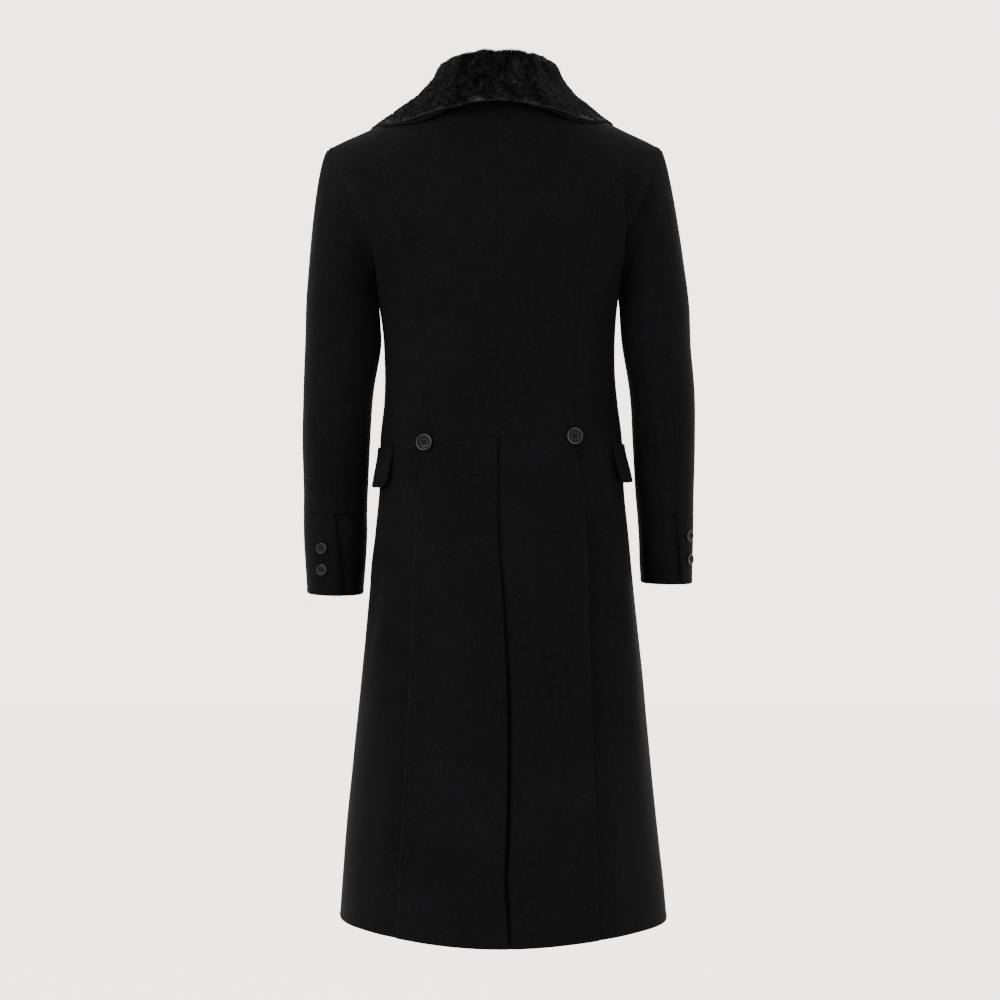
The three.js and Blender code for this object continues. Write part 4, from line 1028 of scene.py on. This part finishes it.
for sign in (-1, 1):
    seams = Seams(sign)
    ring = sleeve_ring(seams)
    end = on_arm(sign, np.full(len(ring["turn"]), float(BICEP)), ring["turn"])
    reach = np.linalg.norm(end - ring["start"], axis=-1)
    t = HEAD_ROWS[:, None, None]
    pull = np.minimum(reach * 0.8, HEAD_PULL[sign])[:, None]
    head = (
        ring["start"] * (2 * t**3 - 3 * t**2 + 1)
        + ring["leave"] * (t**3 - 2 * t**2 + t) * pull
        + end * (3 * t**2 - 2 * t**3)
        + np.array([0, 0, -1.0]) * (t**3 - t**2) * (reach * 0.9)[:, None]
    )
    arm = on_arm(sign, ARM_ROWS[:, None], ring["turn"][None])
    outer = np.concatenate([head, arm])
    n = unit(np.cross(turned_along(outer), np.gradient(outer, axis=0))) * sign
    near = ramp(7, 0, run_lengths(outer, 0))[..., None]
    n = unit(n * (1 - near) - ring["inward"] * near)
    count = outer.shape[1]
    back_cut, front_cut = ring["cuts"]
    pieces = {
        "sleeve_upper_": np.arange(front_cut - count, back_cut + 1) % count,
        "sleeve_under_": np.arange(back_cut, front_cut + 1),
    }
    for name, columns in pieces.items():
        grid = outer[:, columns]
        name += SIDE_NAME[sign] + "_cloth"
        edges = ["seam", "seam", "seam", ""]
        cloth_panel(name, grid, n[:, columns], edges, SLEEVE_CREASES, ["back", "side"])

# Cuffs. Each is a band sewn to the end of the sleeve, whose outer end laps over its inner one
# behind the arm and is held there by two buttons.
CUFF_END = {-1: -689, 1: -676}
CUFF_BOW = {-1: 5, 1: 2}  # how much lower the edge hangs behind the arm
CUFF_LAP = 30
CUFF_TURNS = np.concatenate(
    [[0, 0.5, 1.2, 2.4, 4, 6], np.linspace(8, 352, 90), np.linspace(354, 360 + CUFF_LAP, 10)]
)
for sign in (-1, 1):
    length = CUFF_SEAM - CUFF_END[sign]
    turns = CUFF_TURNS[None]
    shares = spaced(length, CLOTH_STEP, start=True, end=True)[:, None]
    z = CUFF_SEAM - (length + CUFF_BOW[sign] * np.cos(np.radians(turns) / 2) ** 2) * shares
    lift = -(CLOTH + LAYER_GAP) * ramp(360 - CUFF_LAP, 356, turns)
    outer = on_arm(sign, z, turns, lift)
    n = unit(outer - on_arm(sign, z, turns, lift - 1))
    edges = ["free", "seam", "seam", "free"]
    cloth_panel("cuff_" + SIDE_NAME[sign] + "_cloth", outer, n, edges, SLEEVE_CREASES, ["sleeve_upper"])

# Pocket flaps on the hips, of the same wool, turned and topstitched round three sides. Each is
# sewn on along its top and stands a little away from the body at the bottom.
FLAP_WIDTH = 145
FLAP_HEIGHT = 56
FLAP_CORNER = 6
# The angles of both ends, the heights of the top and the foot, and how far the foot stands away.
FLAP = {-1: (57, 116, -487, -543, 7), 1: (60, 118, -482, -536, 9)}
for sign in (-1, 1):
    start, stop, top, foot, proud = FLAP[sign]
    u = spaced(FLAP_WIDTH, CLOTH_STEP, start=True, end=True)[None]
    v = spaced(FLAP_HEIGHT, 4, start=True, end=True)[:, None]
    corner = FLAP_CORNER * v**3 * (ramp(0.1, 0, u) + ramp(0.9, 1, u))
    z = top + (foot - top) * v + corner
    angle = sign * (start + (stop - start) * u + 2 * v * (1 - u))
    outer, n = on_body(angle, z, CLOTH + LAYER_GAP + proud * ramp(top, foot, z))
    edges = ["free", "free", "seam", "free"]
    cloth_panel("pocket_flap_" + SIDE_NAME[sign] + "_cloth", outer, n, edges, hangs_from=["front", "side"])

# Collar and lapels of short-piled fur over a wool under collar. Each station has a section in the
# plane across the fold: the inner leg stands on the neck seam, bends over the fold's circle, and
# falls to the outer edge.
FUR = 6.5
SHOULDER_THIN = (2.5, 4.2, 8.5, 6.0)  # stations between which the collar lies thinner
UNDER_COLLAR = 1.1  # its thickness, its gap to the fur, and its height over the coat
UNDER_GAP = 0.3
UNDER_LIES = 0.5
RIDGE_STATION = 5  # where the neck seam meets the shoulder ridge and the roll line starts
COLLAR_END = 5.5
ROLL_END = {-1: 8, 1: 5.15}  # stations down the roll line at which each lapel ends
RIGHT_TIP = (66, -278)
COLLAR = smooth_table(
    ["station", "out", "up", "radius", "end", "leg_out", "leg_up", "start", "finish"],
    [
        [0, -12, 53, 11.5, 0, -9.8, 1.2, 22, 20],
        [1, -12, 52.5, 11.5, 1, -9.8, 1.2, 23, 22],
        [2, -12, 47.5, 11.5, 2, -9.8, 1.2, 24, 24],
        [3, -11, 40.5, 11.5, 8, -9.8, 1.2, 30, 30],
        [4, -9.5, 34.5, 11.5, 16, -9.8, 1.2, 33, 38],
        [5, -8, 26, 11.5, 25, -9.8, 1.2, 34, 45],
        [6, -6.5, 18, 11.2, 42, -9.6, -1, 34, 40],
        [7, -4, 10, 10.2, 60, -9.2, -1.5, 34, 36],
        [8, -1, 3, 8.6, 78, -8.4, -1.2, 30, 30],
        [9, 0.5, -0.3, 7.6, 90, -7.1, -1, 0, 0],
        [13, 0.5, -0.3, 7.6, 90, -7.1, -0.8, 0, 0],
    ],
)
FALL_EDGE = {
    -1: smooth_table(
        ["station", "x", "z", "lift"],
        [
            [0, -3, -24.5, 21],
            [1, -42, -27, 18],
            [2, -78, -36, 14],
            [3, -112, -43, 10.5],
            [4, -147, -44, 8],
            [5, -178.5, -42, 6.8],
            [6, -181, -84, 5.2],
            [7, -168, -124, 4.4],
            [8, -146, -164, 4.4],
            [9, -116, -203, 4.4],
            [10, -80, -238, 4.4],
            [11, -38, -270, 4.4],
            [12, 10, -296, 4.4],
            [13, 52, -312, 4.4],
        ],
    ),
    1: smooth_table(
        ["station", "x", "z", "lift"],
        [
            [0, -3, -24.5, 21],
            [1, 34, -27, 18],
            [2, 68, -34, 14],
            [3, 99, -41, 10.5],
            [4, 129, -40, 8],
            [5, 155.5, -35, 6.8],
            [6, 158, -80, 5.2],
            [7, 148, -118, 4.4],
            [8, 132, -156, 4.4],
            [9, 110, -194, 4.4],
            [10, 84, -232, 4.4],
            [11, 50, -262, 4.4],
        ],
    ),
}
NECK_FACING = smooth_table(
    ["station", "degrees"], [[0, 0], [1, 10], [2, 24], [3, 42], [4, 66], [5, 88], [6, 105], [13, 105]]
)["degrees"]
UNDER_REACH = smooth_table(
    ["station", "by"], [[0, -1], [1, 0.5], [2, 3.5], [3, 5], [4, 3.5], [5, 2], [6, 2]]
)["by"]
FOLD_COLS = 26
LEG_COLS = 12
FALL_SHARES = np.concatenate([np.linspace(0, 0.94, 44)[1:], [0.96, 0.98, 0.992, 1.0]])
DEEPEST = -9  # farthest step by which a point is moved in to the body


def lifted(p, least, settle=False):
    """Moves points out until they are at least this far off the body, or in to it as well."""
    moved = p.copy()
    for _ in range(5):
        slope = steepest(moved)
        size = np.linalg.norm(slope, axis=-1)
        short = np.maximum(DEEPEST if settle else 0, least - outside(moved) / size)
        moved = moved + slope / size[..., None] * short[..., None]
    return moved


def fur_thickness(s, thin):
    """Thickness across the fall, which thins towards its edge, and more so at the shoulders."""
    edge_loss = (0.55 + 0.27 * thin)[:, None] * ramp(0.7, 1, FALL_SHARES[None])
    return (FUR - 1.2 * thin)[:, None] * (1 - edge_loss)


def sewn_feet(sign, s):
    """Where the fur is sewn on at each station: along the neck seam, then down the roll line."""
    share = SHOULDER_TIP[sign] / SHOULDER_SCALE
    neck_x = np.where(s == 0, CENTRE(0.0), sign * share * NECK_X(s))
    neck_z = np.minimum(NECK_Z(s), ridge_height(neck_x))
    neck_foot = torso(angle_at(neck_x, neck_z), neck_z)
    x, z = roll_point(sign, np.maximum(s - RIDGE_STATION, 0))
    angle = angle_at(x, z, "front", sign)
    roll_foot = on_body(angle, z, right_drop(angle, z) * (sign > 0))[0]
    return np.where((s <= RIDGE_STATION)[:, None], neck_foot, roll_foot)


def fur_rim(sign, s, thin):
    """The fur's outer edge at each station, at its lift over the cloth, and its height."""
    edge = FALL_EDGE[sign]
    on_neck = s <= RIDGE_STATION
    last = (s > RIDGE_STATION + ROLL_END[sign] - 0.01) & (sign > 0)
    x = np.where(last, RIGHT_TIP[0], edge["x"](s))
    z = np.where(last, RIGHT_TIP[1], edge["z"](s))
    below_ridge = np.where(on_neck, 1 + 2 * (RIDGE_STATION - s), 0.01)
    height = np.minimum(z, ridge_height(x) - below_ridge)
    angle = np.where(on_neck, angle_at(x, height), angle_at(x, height, "front", sign))
    sunk = np.where((sign > 0) & ~on_neck, right_drop(angle, height), 0)
    return on_body(angle, height, edge["lift"](s) * (1 - 0.6 * thin) + sunk)[0], height


def bezier(start, first, second, end):
    """Cubic Bezier curves from start to end with two handles between, at the fall's shares."""
    t = FALL_SHARES[None, :, None]
    return (
        start[:, None] * (1 - t) ** 3
        + 3 * first[:, None] * t * (1 - t) ** 2
        + 3 * second[:, None] * t**2 * (1 - t)
        + end[:, None] * t**3
    )


def lying_fall(sign, start, rim, rim_height, high):
    """The fall as it lies on the front: even from the fold to the rim, sinking to the fur's depth."""
    low = LAYER_GAP + FUR
    high = np.maximum(low, high)[:, None]
    t = FALL_SHARES[None]
    x = start[:, :1] + (rim[:, :1] - start[:, :1]) * t
    z = np.minimum(start[:, 2:] + (rim_height[:, None] - start[:, 2:]) * t, ridge_height(x) - 0.5)
    angle = angle_at(x, z, "front", sign)
    rise = low + (high - low) * (1 - t) ** 2.5 + (right_drop(angle, z) if sign > 0 else 0)
    return on_body(angle, z, rise)[0]


def fur_sections(sign, s):
    """The fur's outer side and its thickness at stations s of one side.

    Each section is a leg, an arc of the fold and the fall, which hangs at the neck and lies on the
    front, and is kept clear of the cloth where it passes over the shoulder."""
    thin = ramp(SHOULDER_THIN[0], SHOULDER_THIN[1], s) * ramp(SHOULDER_THIN[2], SHOULDER_THIN[3], s)
    fall_depth = fur_thickness(s, thin)
    foot = sewn_feet(sign, s)
    turn = ramp(5, 7, s)[:, None]
    up = unit(np.array([0, 0, 1.0]) * (1 - turn) + unit(steepest(foot)) * turn)
    rim, rim_height = fur_rim(sign, s, thin)
    over = rim - foot
    over = unit(over - up * (over * up).sum(-1, keepdims=True))
    facing = np.radians(NECK_FACING(s))
    out = np.stack([sign * np.sin(facing), -np.cos(facing), 0 * s], -1) * (1 - turn) + over * turn
    out = unit(out - up * (out * up).sum(-1, keepdims=True))

    def place(o, u):
        """Points of a section by their distances out from its foot and up."""
        return foot[:, None] + out[:, None] * o[..., None] + up[:, None] * u[..., None]

    col = {key: curve(s)[:, None] for key, curve in COLLAR.items()}
    leg = np.linspace(0, 1, LEG_COLS)[None, :-1]
    legs = place(
        col["leg_out"] + (col["out"] - col["radius"] - col["leg_out"]) * leg,
        col["leg_up"] + (col["up"] - col["leg_up"]) * leg,
    )
    a = np.radians(180 + (col["end"] - 180) * np.linspace(0, 1, FOLD_COLS)[None])
    arc = place(col["out"] + col["radius"] * np.cos(a), col["up"] + col["radius"] * np.sin(a))
    start = arc[:, -1]
    leave = out * np.sin(a[:, -1:]) - up * np.cos(a[:, -1:])
    steep = np.maximum(0.1, 0.75 - 0.12 * s)[:, None]
    flow = unit(unit(rim - foot) * (1 - steep) + np.array([0, 0, -1.0]) * steep)
    hanging = bezier(start, start + leave * col["start"], rim - flow * col["finish"], rim)
    lying = lying_fall(sign, start, rim, rim_height, ((start - foot) * up).sum(-1))
    mix = ramp(5, 8, s)[:, None, None]
    points = hanging * (1 - mix) + lying * mix
    under = np.where(s <= 6, UNDER_COLLAR + UNDER_GAP, 0)
    raised = lifted(points, fall_depth + UNDER_LIES + under[:, None])
    held = (s <= RIDGE_STATION)[:, None] & (points[..., 2] >= foot[:, 2:])
    far = (s > 8)[:, None] | held
    points = np.where(far[..., None], points, raised)
    before = np.repeat(fall_depth[:, :1], LEG_COLS - 1 + FOLD_COLS, axis=1)
    return np.concatenate([legs, arc, points], axis=1), np.concatenate([before, fall_depth], axis=1)


# The under collar, of the coat's wool, follows the fur's underside from the neck seam over the
# fold, and its free edge comes out a little past the fur and settles on the shoulders.
STATIONS = np.concatenate([np.linspace(0, 2, 25), np.linspace(2, 5.5, 50)[1:]])
left_half = fur_sections(-1, STATIONS)
right_half = fur_sections(1, STATIONS)
collar = np.concatenate([left_half[0][::-1], right_half[0][1:]])
fur_depth = np.concatenate([left_half[1][::-1], right_half[1][1:]])[..., None]
collar_stations = np.concatenate([STATIONS[::-1], STATIONS[1:]])
collar_out = unit(np.cross(np.gradient(collar, axis=1), np.gradient(collar, axis=0)))
sunk = collar - collar_out * (fur_depth + UNDER_GAP)
past_fur = unit(sunk[:, -1] - sunk[:, -2]) * UNDER_REACH(collar_stations)[:, None]
edge_line = sunk[:, -1] + past_fur
clear = np.full(len(sunk), UNDER_COLLAR + UNDER_LIES)
settled = lifted(edge_line, clear, settle=True)
edge_line = edge_line + (settled - edge_line) * ramp(1.5, 3, collar_stations)[:, None]
edge_line = lifted(edge_line, clear)
steps = np.linspace(0, 1, 6)[None, 1:, None]
reaching = sunk[:, -2:-1] * (1 - steps) + edge_line[:, None] * steps
under = np.concatenate([sunk[:, :-1], reaching], axis=1)
under_out = unit(np.cross(np.gradient(under, axis=1), np.gradient(under, axis=0)))
under_piece = wall_mesh("under_collar_cloth", under, under - under_out * UNDER_COLLAR, wool)
declare_sheet(under, ["back_left", "back_right"])

# The fur. Short dense pile on its skin: the skin is a low wall in soft tufts, and the pile stands
# on it as fine pointed hairs that lie towards the collar's edge and part here and there.
PILE_SINK = 3.2
PILE_LENGTH = 7.0
PILE_WIDTH = 1.15
PILE_COUNT = {"collar_fur": 46000, "lapel_left": 26000, "lapel_right": 20000}
PILE_ROOTS = (0.0016, 0.0016, 0.0018)
PILE_TIPS = (0.019, 0.0188, 0.0198)
HAIR_SIDES = [[0, 1, 3], [1, 2, 3], [2, 0, 3]]  # from the three points at the foot up to the bend
TIP_SIDES = ([3, 1, 4], [2, 3, 4])  # a hair's flat tip, on one side of every other hair


def fur_finish(name):
    """Near-black pile: dark roots, tips a little lighter in cloudy patches, and a soft shine."""
    finish = Finish(name, (0.004, 0.004, 0.0045), 0.5, Specular_IOR_Level=0.07)
    place = finish.place()
    cloud = finish.node("ShaderNodeTexNoise", Vector=place, Scale=52.0, Detail=2.0, Roughness=0.5)
    tuft = finish.node("ShaderNodeTexNoise", Vector=place, Scale=210.0, Detail=2.0, Roughness=0.6)
    tip = finish.attribute("pile_tip")
    shade = ((cloud * 0.35 + tuft * 0.65 - 0.36) * 3.2).clamped() * (tip * 0.7 + 0.3)
    finish.blend("Base Color", shade, PILE_ROOTS, PILE_TIPS)
    finish.feed("Roughness", 0.62 - cloud * 0.25)
    return finish.material


fur = fur_finish("black_fur")


def pile_mesh(name, outer, n, depth, count, seed):
    """Hairs as slim pyramids with a bent tip, drawn evenly over a grid's area. Each leans from the
    way out towards the section's end, in a direction that swirls slowly over the piece."""
    draw = np.random.default_rng(seed)
    down, beyond = outer[1:, :-1] - outer[:-1, :-1], outer[:-1, 1:] - outer[:-1, :-1]
    sizes = np.linalg.norm(np.cross(down, beyond), axis=-1).ravel()
    cell = np.searchsorted(np.cumsum(sizes) / sizes.sum(), draw.uniform(size=count))
    cell = np.minimum(cell, len(sizes) - 1)
    cells_across = outer.shape[1] - 1
    r, c = cell // cells_across, cell % cells_across
    a, b = draw.uniform(size=(2, count, 1))
    lay = np.gradient(outer, axis=1)

    def mixed(grid):
        """A grid's values at the roots, mixed from the four corners of each cell."""
        upper = grid[r, c] * (1 - b) + grid[r, c + 1] * b
        lower = grid[r + 1, c] * (1 - b) + grid[r + 1, c + 1] * b
        return upper * (1 - a) + lower * a

    root = mixed(outer)
    out = unit(mixed(n))
    along = unit(mixed(lay))
    beside = np.cross(out, along)
    swirl = uneven(root, 31, 34, 1.1) + uneven(root, 22, 13, 0.7) + draw.normal(size=count) * 0.25
    stand = 0.75 + uneven(root, 23, 26, 0.5) + draw.normal(size=count) * 0.16
    lean = along * np.cos(swirl)[:, None] + beside * np.sin(swirl)[:, None]
    way = unit(lean * np.cos(stand)[:, None] + out * np.sin(stand)[:, None])
    full = mixed(depth) / FUR
    length = PILE_LENGTH * full * draw.uniform(0.75, 1.15, size=(count, 1))
    side = unit(np.cross(way, out)) * PILE_WIDTH / 2
    front = unit(np.cross(side, way)) * PILE_WIDTH / 2
    foot = root - out * (PILE_SINK * full + 0.6)
    bend = foot + way * length * 0.55 + out * 0.4
    end = bend + unit(way * 1.6 + lean * 0.9) * length * 0.5
    foot_ring = [foot + front, foot - front * 0.6 + side, foot - front * 0.6 - side]
    points = np.stack([*foot_ring, bend + front * 0.7, end], 1)
    even, odd = (np.array([*HAIR_SIDES, tip_side]) for tip_side in TIP_SIDES)
    hair = np.arange(count)[:, None, None]
    faces = (hair * points.shape[1] + np.where(hair % 2 == 0, even, odd)).reshape(-1, 3)
    mesh = bpy.data.meshes.new(name)
    mesh.from_pydata((points.reshape(-1, 3) * MM).tolist(), [], faces.tolist())
    tips = (np.array([[0, 0, 0, 0.5, 1.0]]) * full**1.4).astype(np.float32).ravel()
    mesh.attributes.new("pile_tip", "FLOAT", "POINT").data.foreach_set("value", tips)
    mesh.materials.append(fur)
    piece = bpy.data.objects.new(name, mesh)
    bpy.context.scene.collection.objects.link(piece)
    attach(piece, "root")
    return piece


def fur_piece(name, outer, n, depth, rests_on):
    """The skin of one fur piece with its pile."""
    tufts = 0.9 * uneven(outer, 3, 22, 1.0) + 0.6 * uneven(outer, 5, 9, 1.0)
    skin = outer + n * (tufts - PILE_SINK * depth[..., 0] / FUR)[..., None]
    piece = wall_mesh(name + "_cloth", skin, outer - n * depth, fur)
    pile = pile_mesh(name + "_pile", outer, n, depth, PILE_COUNT[name], len(name))
    declare_sheet(skin, rests_on)


fur_piece("collar_fur", collar, collar_out, fur_depth, ["under_collar"])
for sign in (-1, 1):
    s = np.linspace(COLLAR_END, 5 + ROLL_END[sign], 60)
    outer, depth = fur_sections(sign, s)
    n = sign * unit(np.cross(np.gradient(outer, axis=1), np.gradient(outer, axis=0)))
    fur_piece("lapel_" + SIDE_NAME[sign], outer, n, depth[..., None], ["front_" + SIDE_NAME[sign]])

# Buttons of dark horn, turned with a sunk face and a raised rim, and drilled with four holes.
# Each is sewn on through them with two crossing runs of black thread. A button's own reaches and
# heights are in radii.
BUTTON_SIZE = {"waist": 23, "front": 23, "cuff": 15}
BUTTON_FACE = smooth_table(
    ["reach", "height"],
    [
        [0, 0.2],
        [0.3, 0.2],
        [0.62, 0.24],
        [0.74, 0.33],
        [0.84, 0.385],
        [0.93, 0.37],
        [1.0, 0.27],
    ],
)["height"]
BUTTON_BACK = np.array(
    [  # reach and height, from the rim's side in under the button
        [1.0, 0.2],
        [0.985, 0.12],
        [0.95, 0.06],
        [0.88, 0.02],
        [0.8, 0.0],
        [0.4, 0.0],
        [0.02, 0.0],
    ]
)
BUTTON_SIDES = 72
HOLES = 4
HOLE_REACH = 0.23
HOLE_SIZE = 0.085
HOLE_DEPTH = 0.16
# Painted highlights on the horn: a pale ring over the rim's crest, stronger on two opposite sides, and a
# faint painted sheen over the sunk face.
PAINTED_HIGHLIGHT_REACHES = (0.82, 1.0)  # the reaches between which a highlight is painted pale on the rim
FACE_PAINTED_HIGHLIGHT = 0.07
HORN_FACE = (0.0008, 0.0008, 0.0009)
HORN_PAINTED_HIGHLIGHT = (0.024, 0.024, 0.027)
THREAD_BLACK = (0.0014, 0.0014, 0.0016)
THREAD_SIDES = 6
THREAD_WIDTH = 0.05  # of the button's size
THREAD_LIFT = 0.24
THREAD_CROSSING = 0.05  # how much higher the second run lies than the first


def horn_finish():
    """Dark horn, with a highlight painted paler on the rim's crest and faintly over the face, where the
    mesh's attribute for it says.
    """
    finish = Finish("dark_horn", HORN_FACE, 0.35, Specular_IOR_Level=0.05)
    finish.blend("Base Color", finish.attribute("painted_highlight"), HORN_FACE, HORN_PAINTED_HIGHLIGHT)
    return finish.material


horn = horn_finish()
thread = Finish("black_thread", THREAD_BLACK, 0.8, Specular_IOR_Level=0.05).material


def thread_run(name, points, size):
    """One thread: a six-sided tube along points, narrowed to nothing at both ends."""
    points = np.array(points, float)
    along = unit(np.gradient(points, axis=0))
    side = unit(np.cross(along, [0.13, 1.0, 0.07]))
    other = np.cross(along, side)
    taper = np.sin(np.linspace(0.03, np.pi - 0.03, len(points))) ** 0.4 * size / 2
    a = np.linspace(0, 2 * np.pi, THREAD_SIDES, endpoint=False)
    around = side[:, None] * np.cos(a)[None, :, None] + other[:, None] * np.sin(a)[None, :, None]
    tube = points[:, None] + around * taper[:, None, None]
    index = np.arange(tube.shape[0] * THREAD_SIDES).reshape(-1, THREAD_SIDES)
    after = np.roll(index, -1, axis=1)
    faces = np.stack([index[:-1], after[:-1], after[1:], index[1:]], -1).reshape(-1, 4).tolist()
    faces += [index[0, ::-1].tolist(), index[-1].tolist()]
    mesh = bpy.data.meshes.new(name)
    mesh.from_pydata((tube.reshape(-1, 3) * MM).tolist(), [], faces)
    mesh.materials.append(thread)
    piece = bpy.data.objects.new(name, mesh)
    bpy.context.scene.collection.objects.link(piece)
    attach(piece, "root")


def button(name, size, p, n):
    """A turned disc: face and rim by a profile over the radius, pushed down inside the four holes."""
    r = size / 2
    upright = np.array([0, 0, 1.0]) - n * n[2]
    up = upright / np.linalg.norm(upright)
    over = np.cross(up, n)
    face = np.concatenate([np.linspace(0.02, 0.42, 22), np.linspace(0.46, 1.0, 20)])
    reach = np.concatenate([face, BUTTON_BACK[:, 0]])
    height = np.concatenate([BUTTON_FACE(face), BUTTON_BACK[:, 1]])
    in_front = np.arange(len(reach)) < len(face)
    a = np.linspace(0, 2 * np.pi, BUTTON_SIDES, endpoint=False)
    x, y = reach[:, None] * np.cos(a), reach[:, None] * np.sin(a)
    holes = np.pi / 4 + np.arange(HOLES)[:, None, None] * 2 * np.pi / HOLES
    away = np.hypot(x - HOLE_REACH * np.cos(holes), y - HOLE_REACH * np.sin(holes)).min(0)
    deep = HOLE_DEPTH * ramp(HOLE_SIZE * 1.15, HOLE_SIZE * 0.75, away) * in_front[:, None]
    lift = height[:, None] - deep
    place = p + (over * x[..., None] + up * y[..., None] + n * lift[..., None]) * r
    rows, cols = x.shape
    points = place.reshape(-1, 3) * MM
    index = np.arange(rows * cols).reshape(rows, cols)
    after = np.roll(index, -1, axis=1)
    faces = np.stack([index[:-1], index[1:], after[1:], after[:-1]], -1).reshape(-1, 4).tolist()
    faces.append(index[0].tolist())
    faces.append(index[-1, ::-1].tolist())
    mesh = bpy.data.meshes.new(name + "_horn")
    mesh.from_pydata(points.tolist(), [], faces)
    mesh.polygons.foreach_set("use_smooth", np.ones(len(faces), bool))
    # Painted highlight: pale on the rim's crest, more so on two opposite sides, and faintly over the sunk
    # face.
    painted_highlight = bump(*PAINTED_HIGHLIGHT_REACHES, reach)[:, None] * (0.5 + 0.9 * np.sin(a + 0.8) ** 2)
    painted_highlight = painted_highlight + (FACE_PAINTED_HIGHLIGHT * ramp(0.68, 0.58, reach) * in_front)[:, None]
    painted_highlight = painted_highlight.ravel().astype(np.float32)
    mesh.attributes.new("painted_highlight", "FLOAT", "POINT").data.foreach_set("value", painted_highlight)
    mesh.materials.append(horn)
    piece = bpy.data.objects.new(name + "_horn", mesh)
    bpy.context.scene.collection.objects.link(piece)
    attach(piece, "root")
    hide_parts(name)
    for k, turn in enumerate((np.pi / 4, 3 * np.pi / 4)):
        step = np.linspace(-HOLE_REACH, HOLE_REACH, 13)
        lift = THREAD_LIFT + THREAD_CROSSING * k - HOLE_DEPTH * (np.abs(step) / HOLE_REACH) ** 6
        run = (over * np.cos(turn) + up * np.sin(turn)) * step[:, None] + n * lift[:, None]
        thread_run(f"{name}_thread_{k + 1}", p + run * r, size * THREAD_WIDTH)


# The waist buttons' x and height.
WAIST_BUTTONS = {-1: (-102.4, -481.7), 1: (101, -473)}
# The cuff buttons' turn round the arm and height.
CUFF_BUTTONS = {-1: ((31, -627), (36, -657)), 1: ((27, -610), (27, -643))}
FRONT_BUTTON_X = 43
FRONT_BUTTON_Z = (-345, -450, -555)
for sign in (-1, 1):
    x, z = WAIST_BUTTONS[sign]
    p, n = on_body(angle_at(x, z), float(z))
    side = SIDE_NAME[sign]
    button("waist_button_" + side, BUTTON_SIZE["waist"], p + n * LAYER_GAP, n)
    for k, (turn, z) in enumerate(CUFF_BUTTONS[sign]):
        p = on_arm(sign, z, turn)
        n = unit(on_arm(sign, z, turn, 1.0) - p)
        button(f"cuff_button_{side}_{k + 1}", BUTTON_SIZE["cuff"], p + n * LAYER_GAP / 2, n)
    for k, z in enumerate(FRONT_BUTTON_Z):
        p, n = on_body(angle_at(sign * FRONT_BUTTON_X, z, "front", -1), float(z))
        button(f"front_button_{side}_{k + 1}", BUTTON_SIZE["front"], p + n * LAYER_GAP / 2, n)

# The tack at the top of the vent: a slanting run of thick thread through both layers, which keeps
# the vent from tearing further up.
TACK = np.array([[-31, -614.6], [-5.6, -607.6]])
TACK_WIDTH = 1.6
tack_line = TACK[0] + (TACK[1] - TACK[0]) * np.linspace(0, 1, 9)[:, None]
tack_place = on_body(angle_at(tack_line[:, 0], tack_line[:, 1]), tack_line[:, 1], 0.5)[0]
thread_run("vent_tack", tack_place, TACK_WIDTH)

# Camera at the photograph's angle, level and straight on from behind, with a view that is as wide
# as FRAME_WIDTH where the coat stands. Its sizes are in metres, and the sensor's in millimetres.
CAMERA_DISTANCE = 3.0
CAMERA_HEIGHT = -0.56
FRAME_WIDTH = 1.4
SENSOR = 36
camera = bpy.data.objects.new("camera", bpy.data.cameras.new("camera"))
camera.data.sensor_width = SENSOR
camera.data.lens = SENSOR * CAMERA_DISTANCE / FRAME_WIDTH
camera.location = (0, -CAMERA_DISTANCE, CAMERA_HEIGHT)
camera.rotation_euler = (np.pi / 2, 0, 0)
bpy.context.scene.collection.objects.link(camera)
bpy.context.scene.camera = camera

# A pale floor and a pale surround, with two large soft lights behind the coat: one from the upper
# left, which brings out the cloth's shape, and a weak one from the right. Sizes are in metres.
FLOOR = -2.0
FLOOR_REACH = 12
SURROUND = (0.97, 0.92, 0.875, 1)
SURROUND_STRENGTH = 4.2


def soft_light(name, place, aim, size, power):
    """A square area light that looks at a point."""
    light = bpy.data.objects.new(name, bpy.data.lights.new(name, "AREA"))
    light.data.size = size
    light.data.energy = power
    light.location = place
    way = np.array(aim, float) - np.array(place, float)
    light.rotation_euler = (np.arccos(-way[2] / np.linalg.norm(way)), 0, np.arctan2(-way[0], way[1]))
    bpy.context.scene.collection.objects.link(light)


soft_light("key", (-2.3, -2.1, 1.3), (0, 0, -0.5), 1.3, 150)
soft_light("fill", (1.9, -2.4, 0.2), (0, 0, -0.6), 2.0, 30)
world = bpy.data.worlds.new("surround")
bpy.context.scene.world = world
world.use_nodes = True
world.node_tree.nodes["Background"].inputs[0].default_value = SURROUND
world.node_tree.nodes["Background"].inputs[1].default_value = SURROUND_STRENGTH
floor_mesh = bpy.data.meshes.new("floor")
corners = [(x * FLOOR_REACH, y * FLOOR_REACH, FLOOR) for x, y in ((-1, -1), (1, -1), (1, 1), (-1, 1))]
floor_mesh.from_pydata(corners, [], [(0, 1, 2, 3)])
floor = bpy.data.objects.new("floor", floor_mesh)
floor_mesh.materials.append(Finish("pale_floor", (0.96, 0.95, 0.94), 0.9).material)
bpy.context.scene.collection.objects.link(floor)
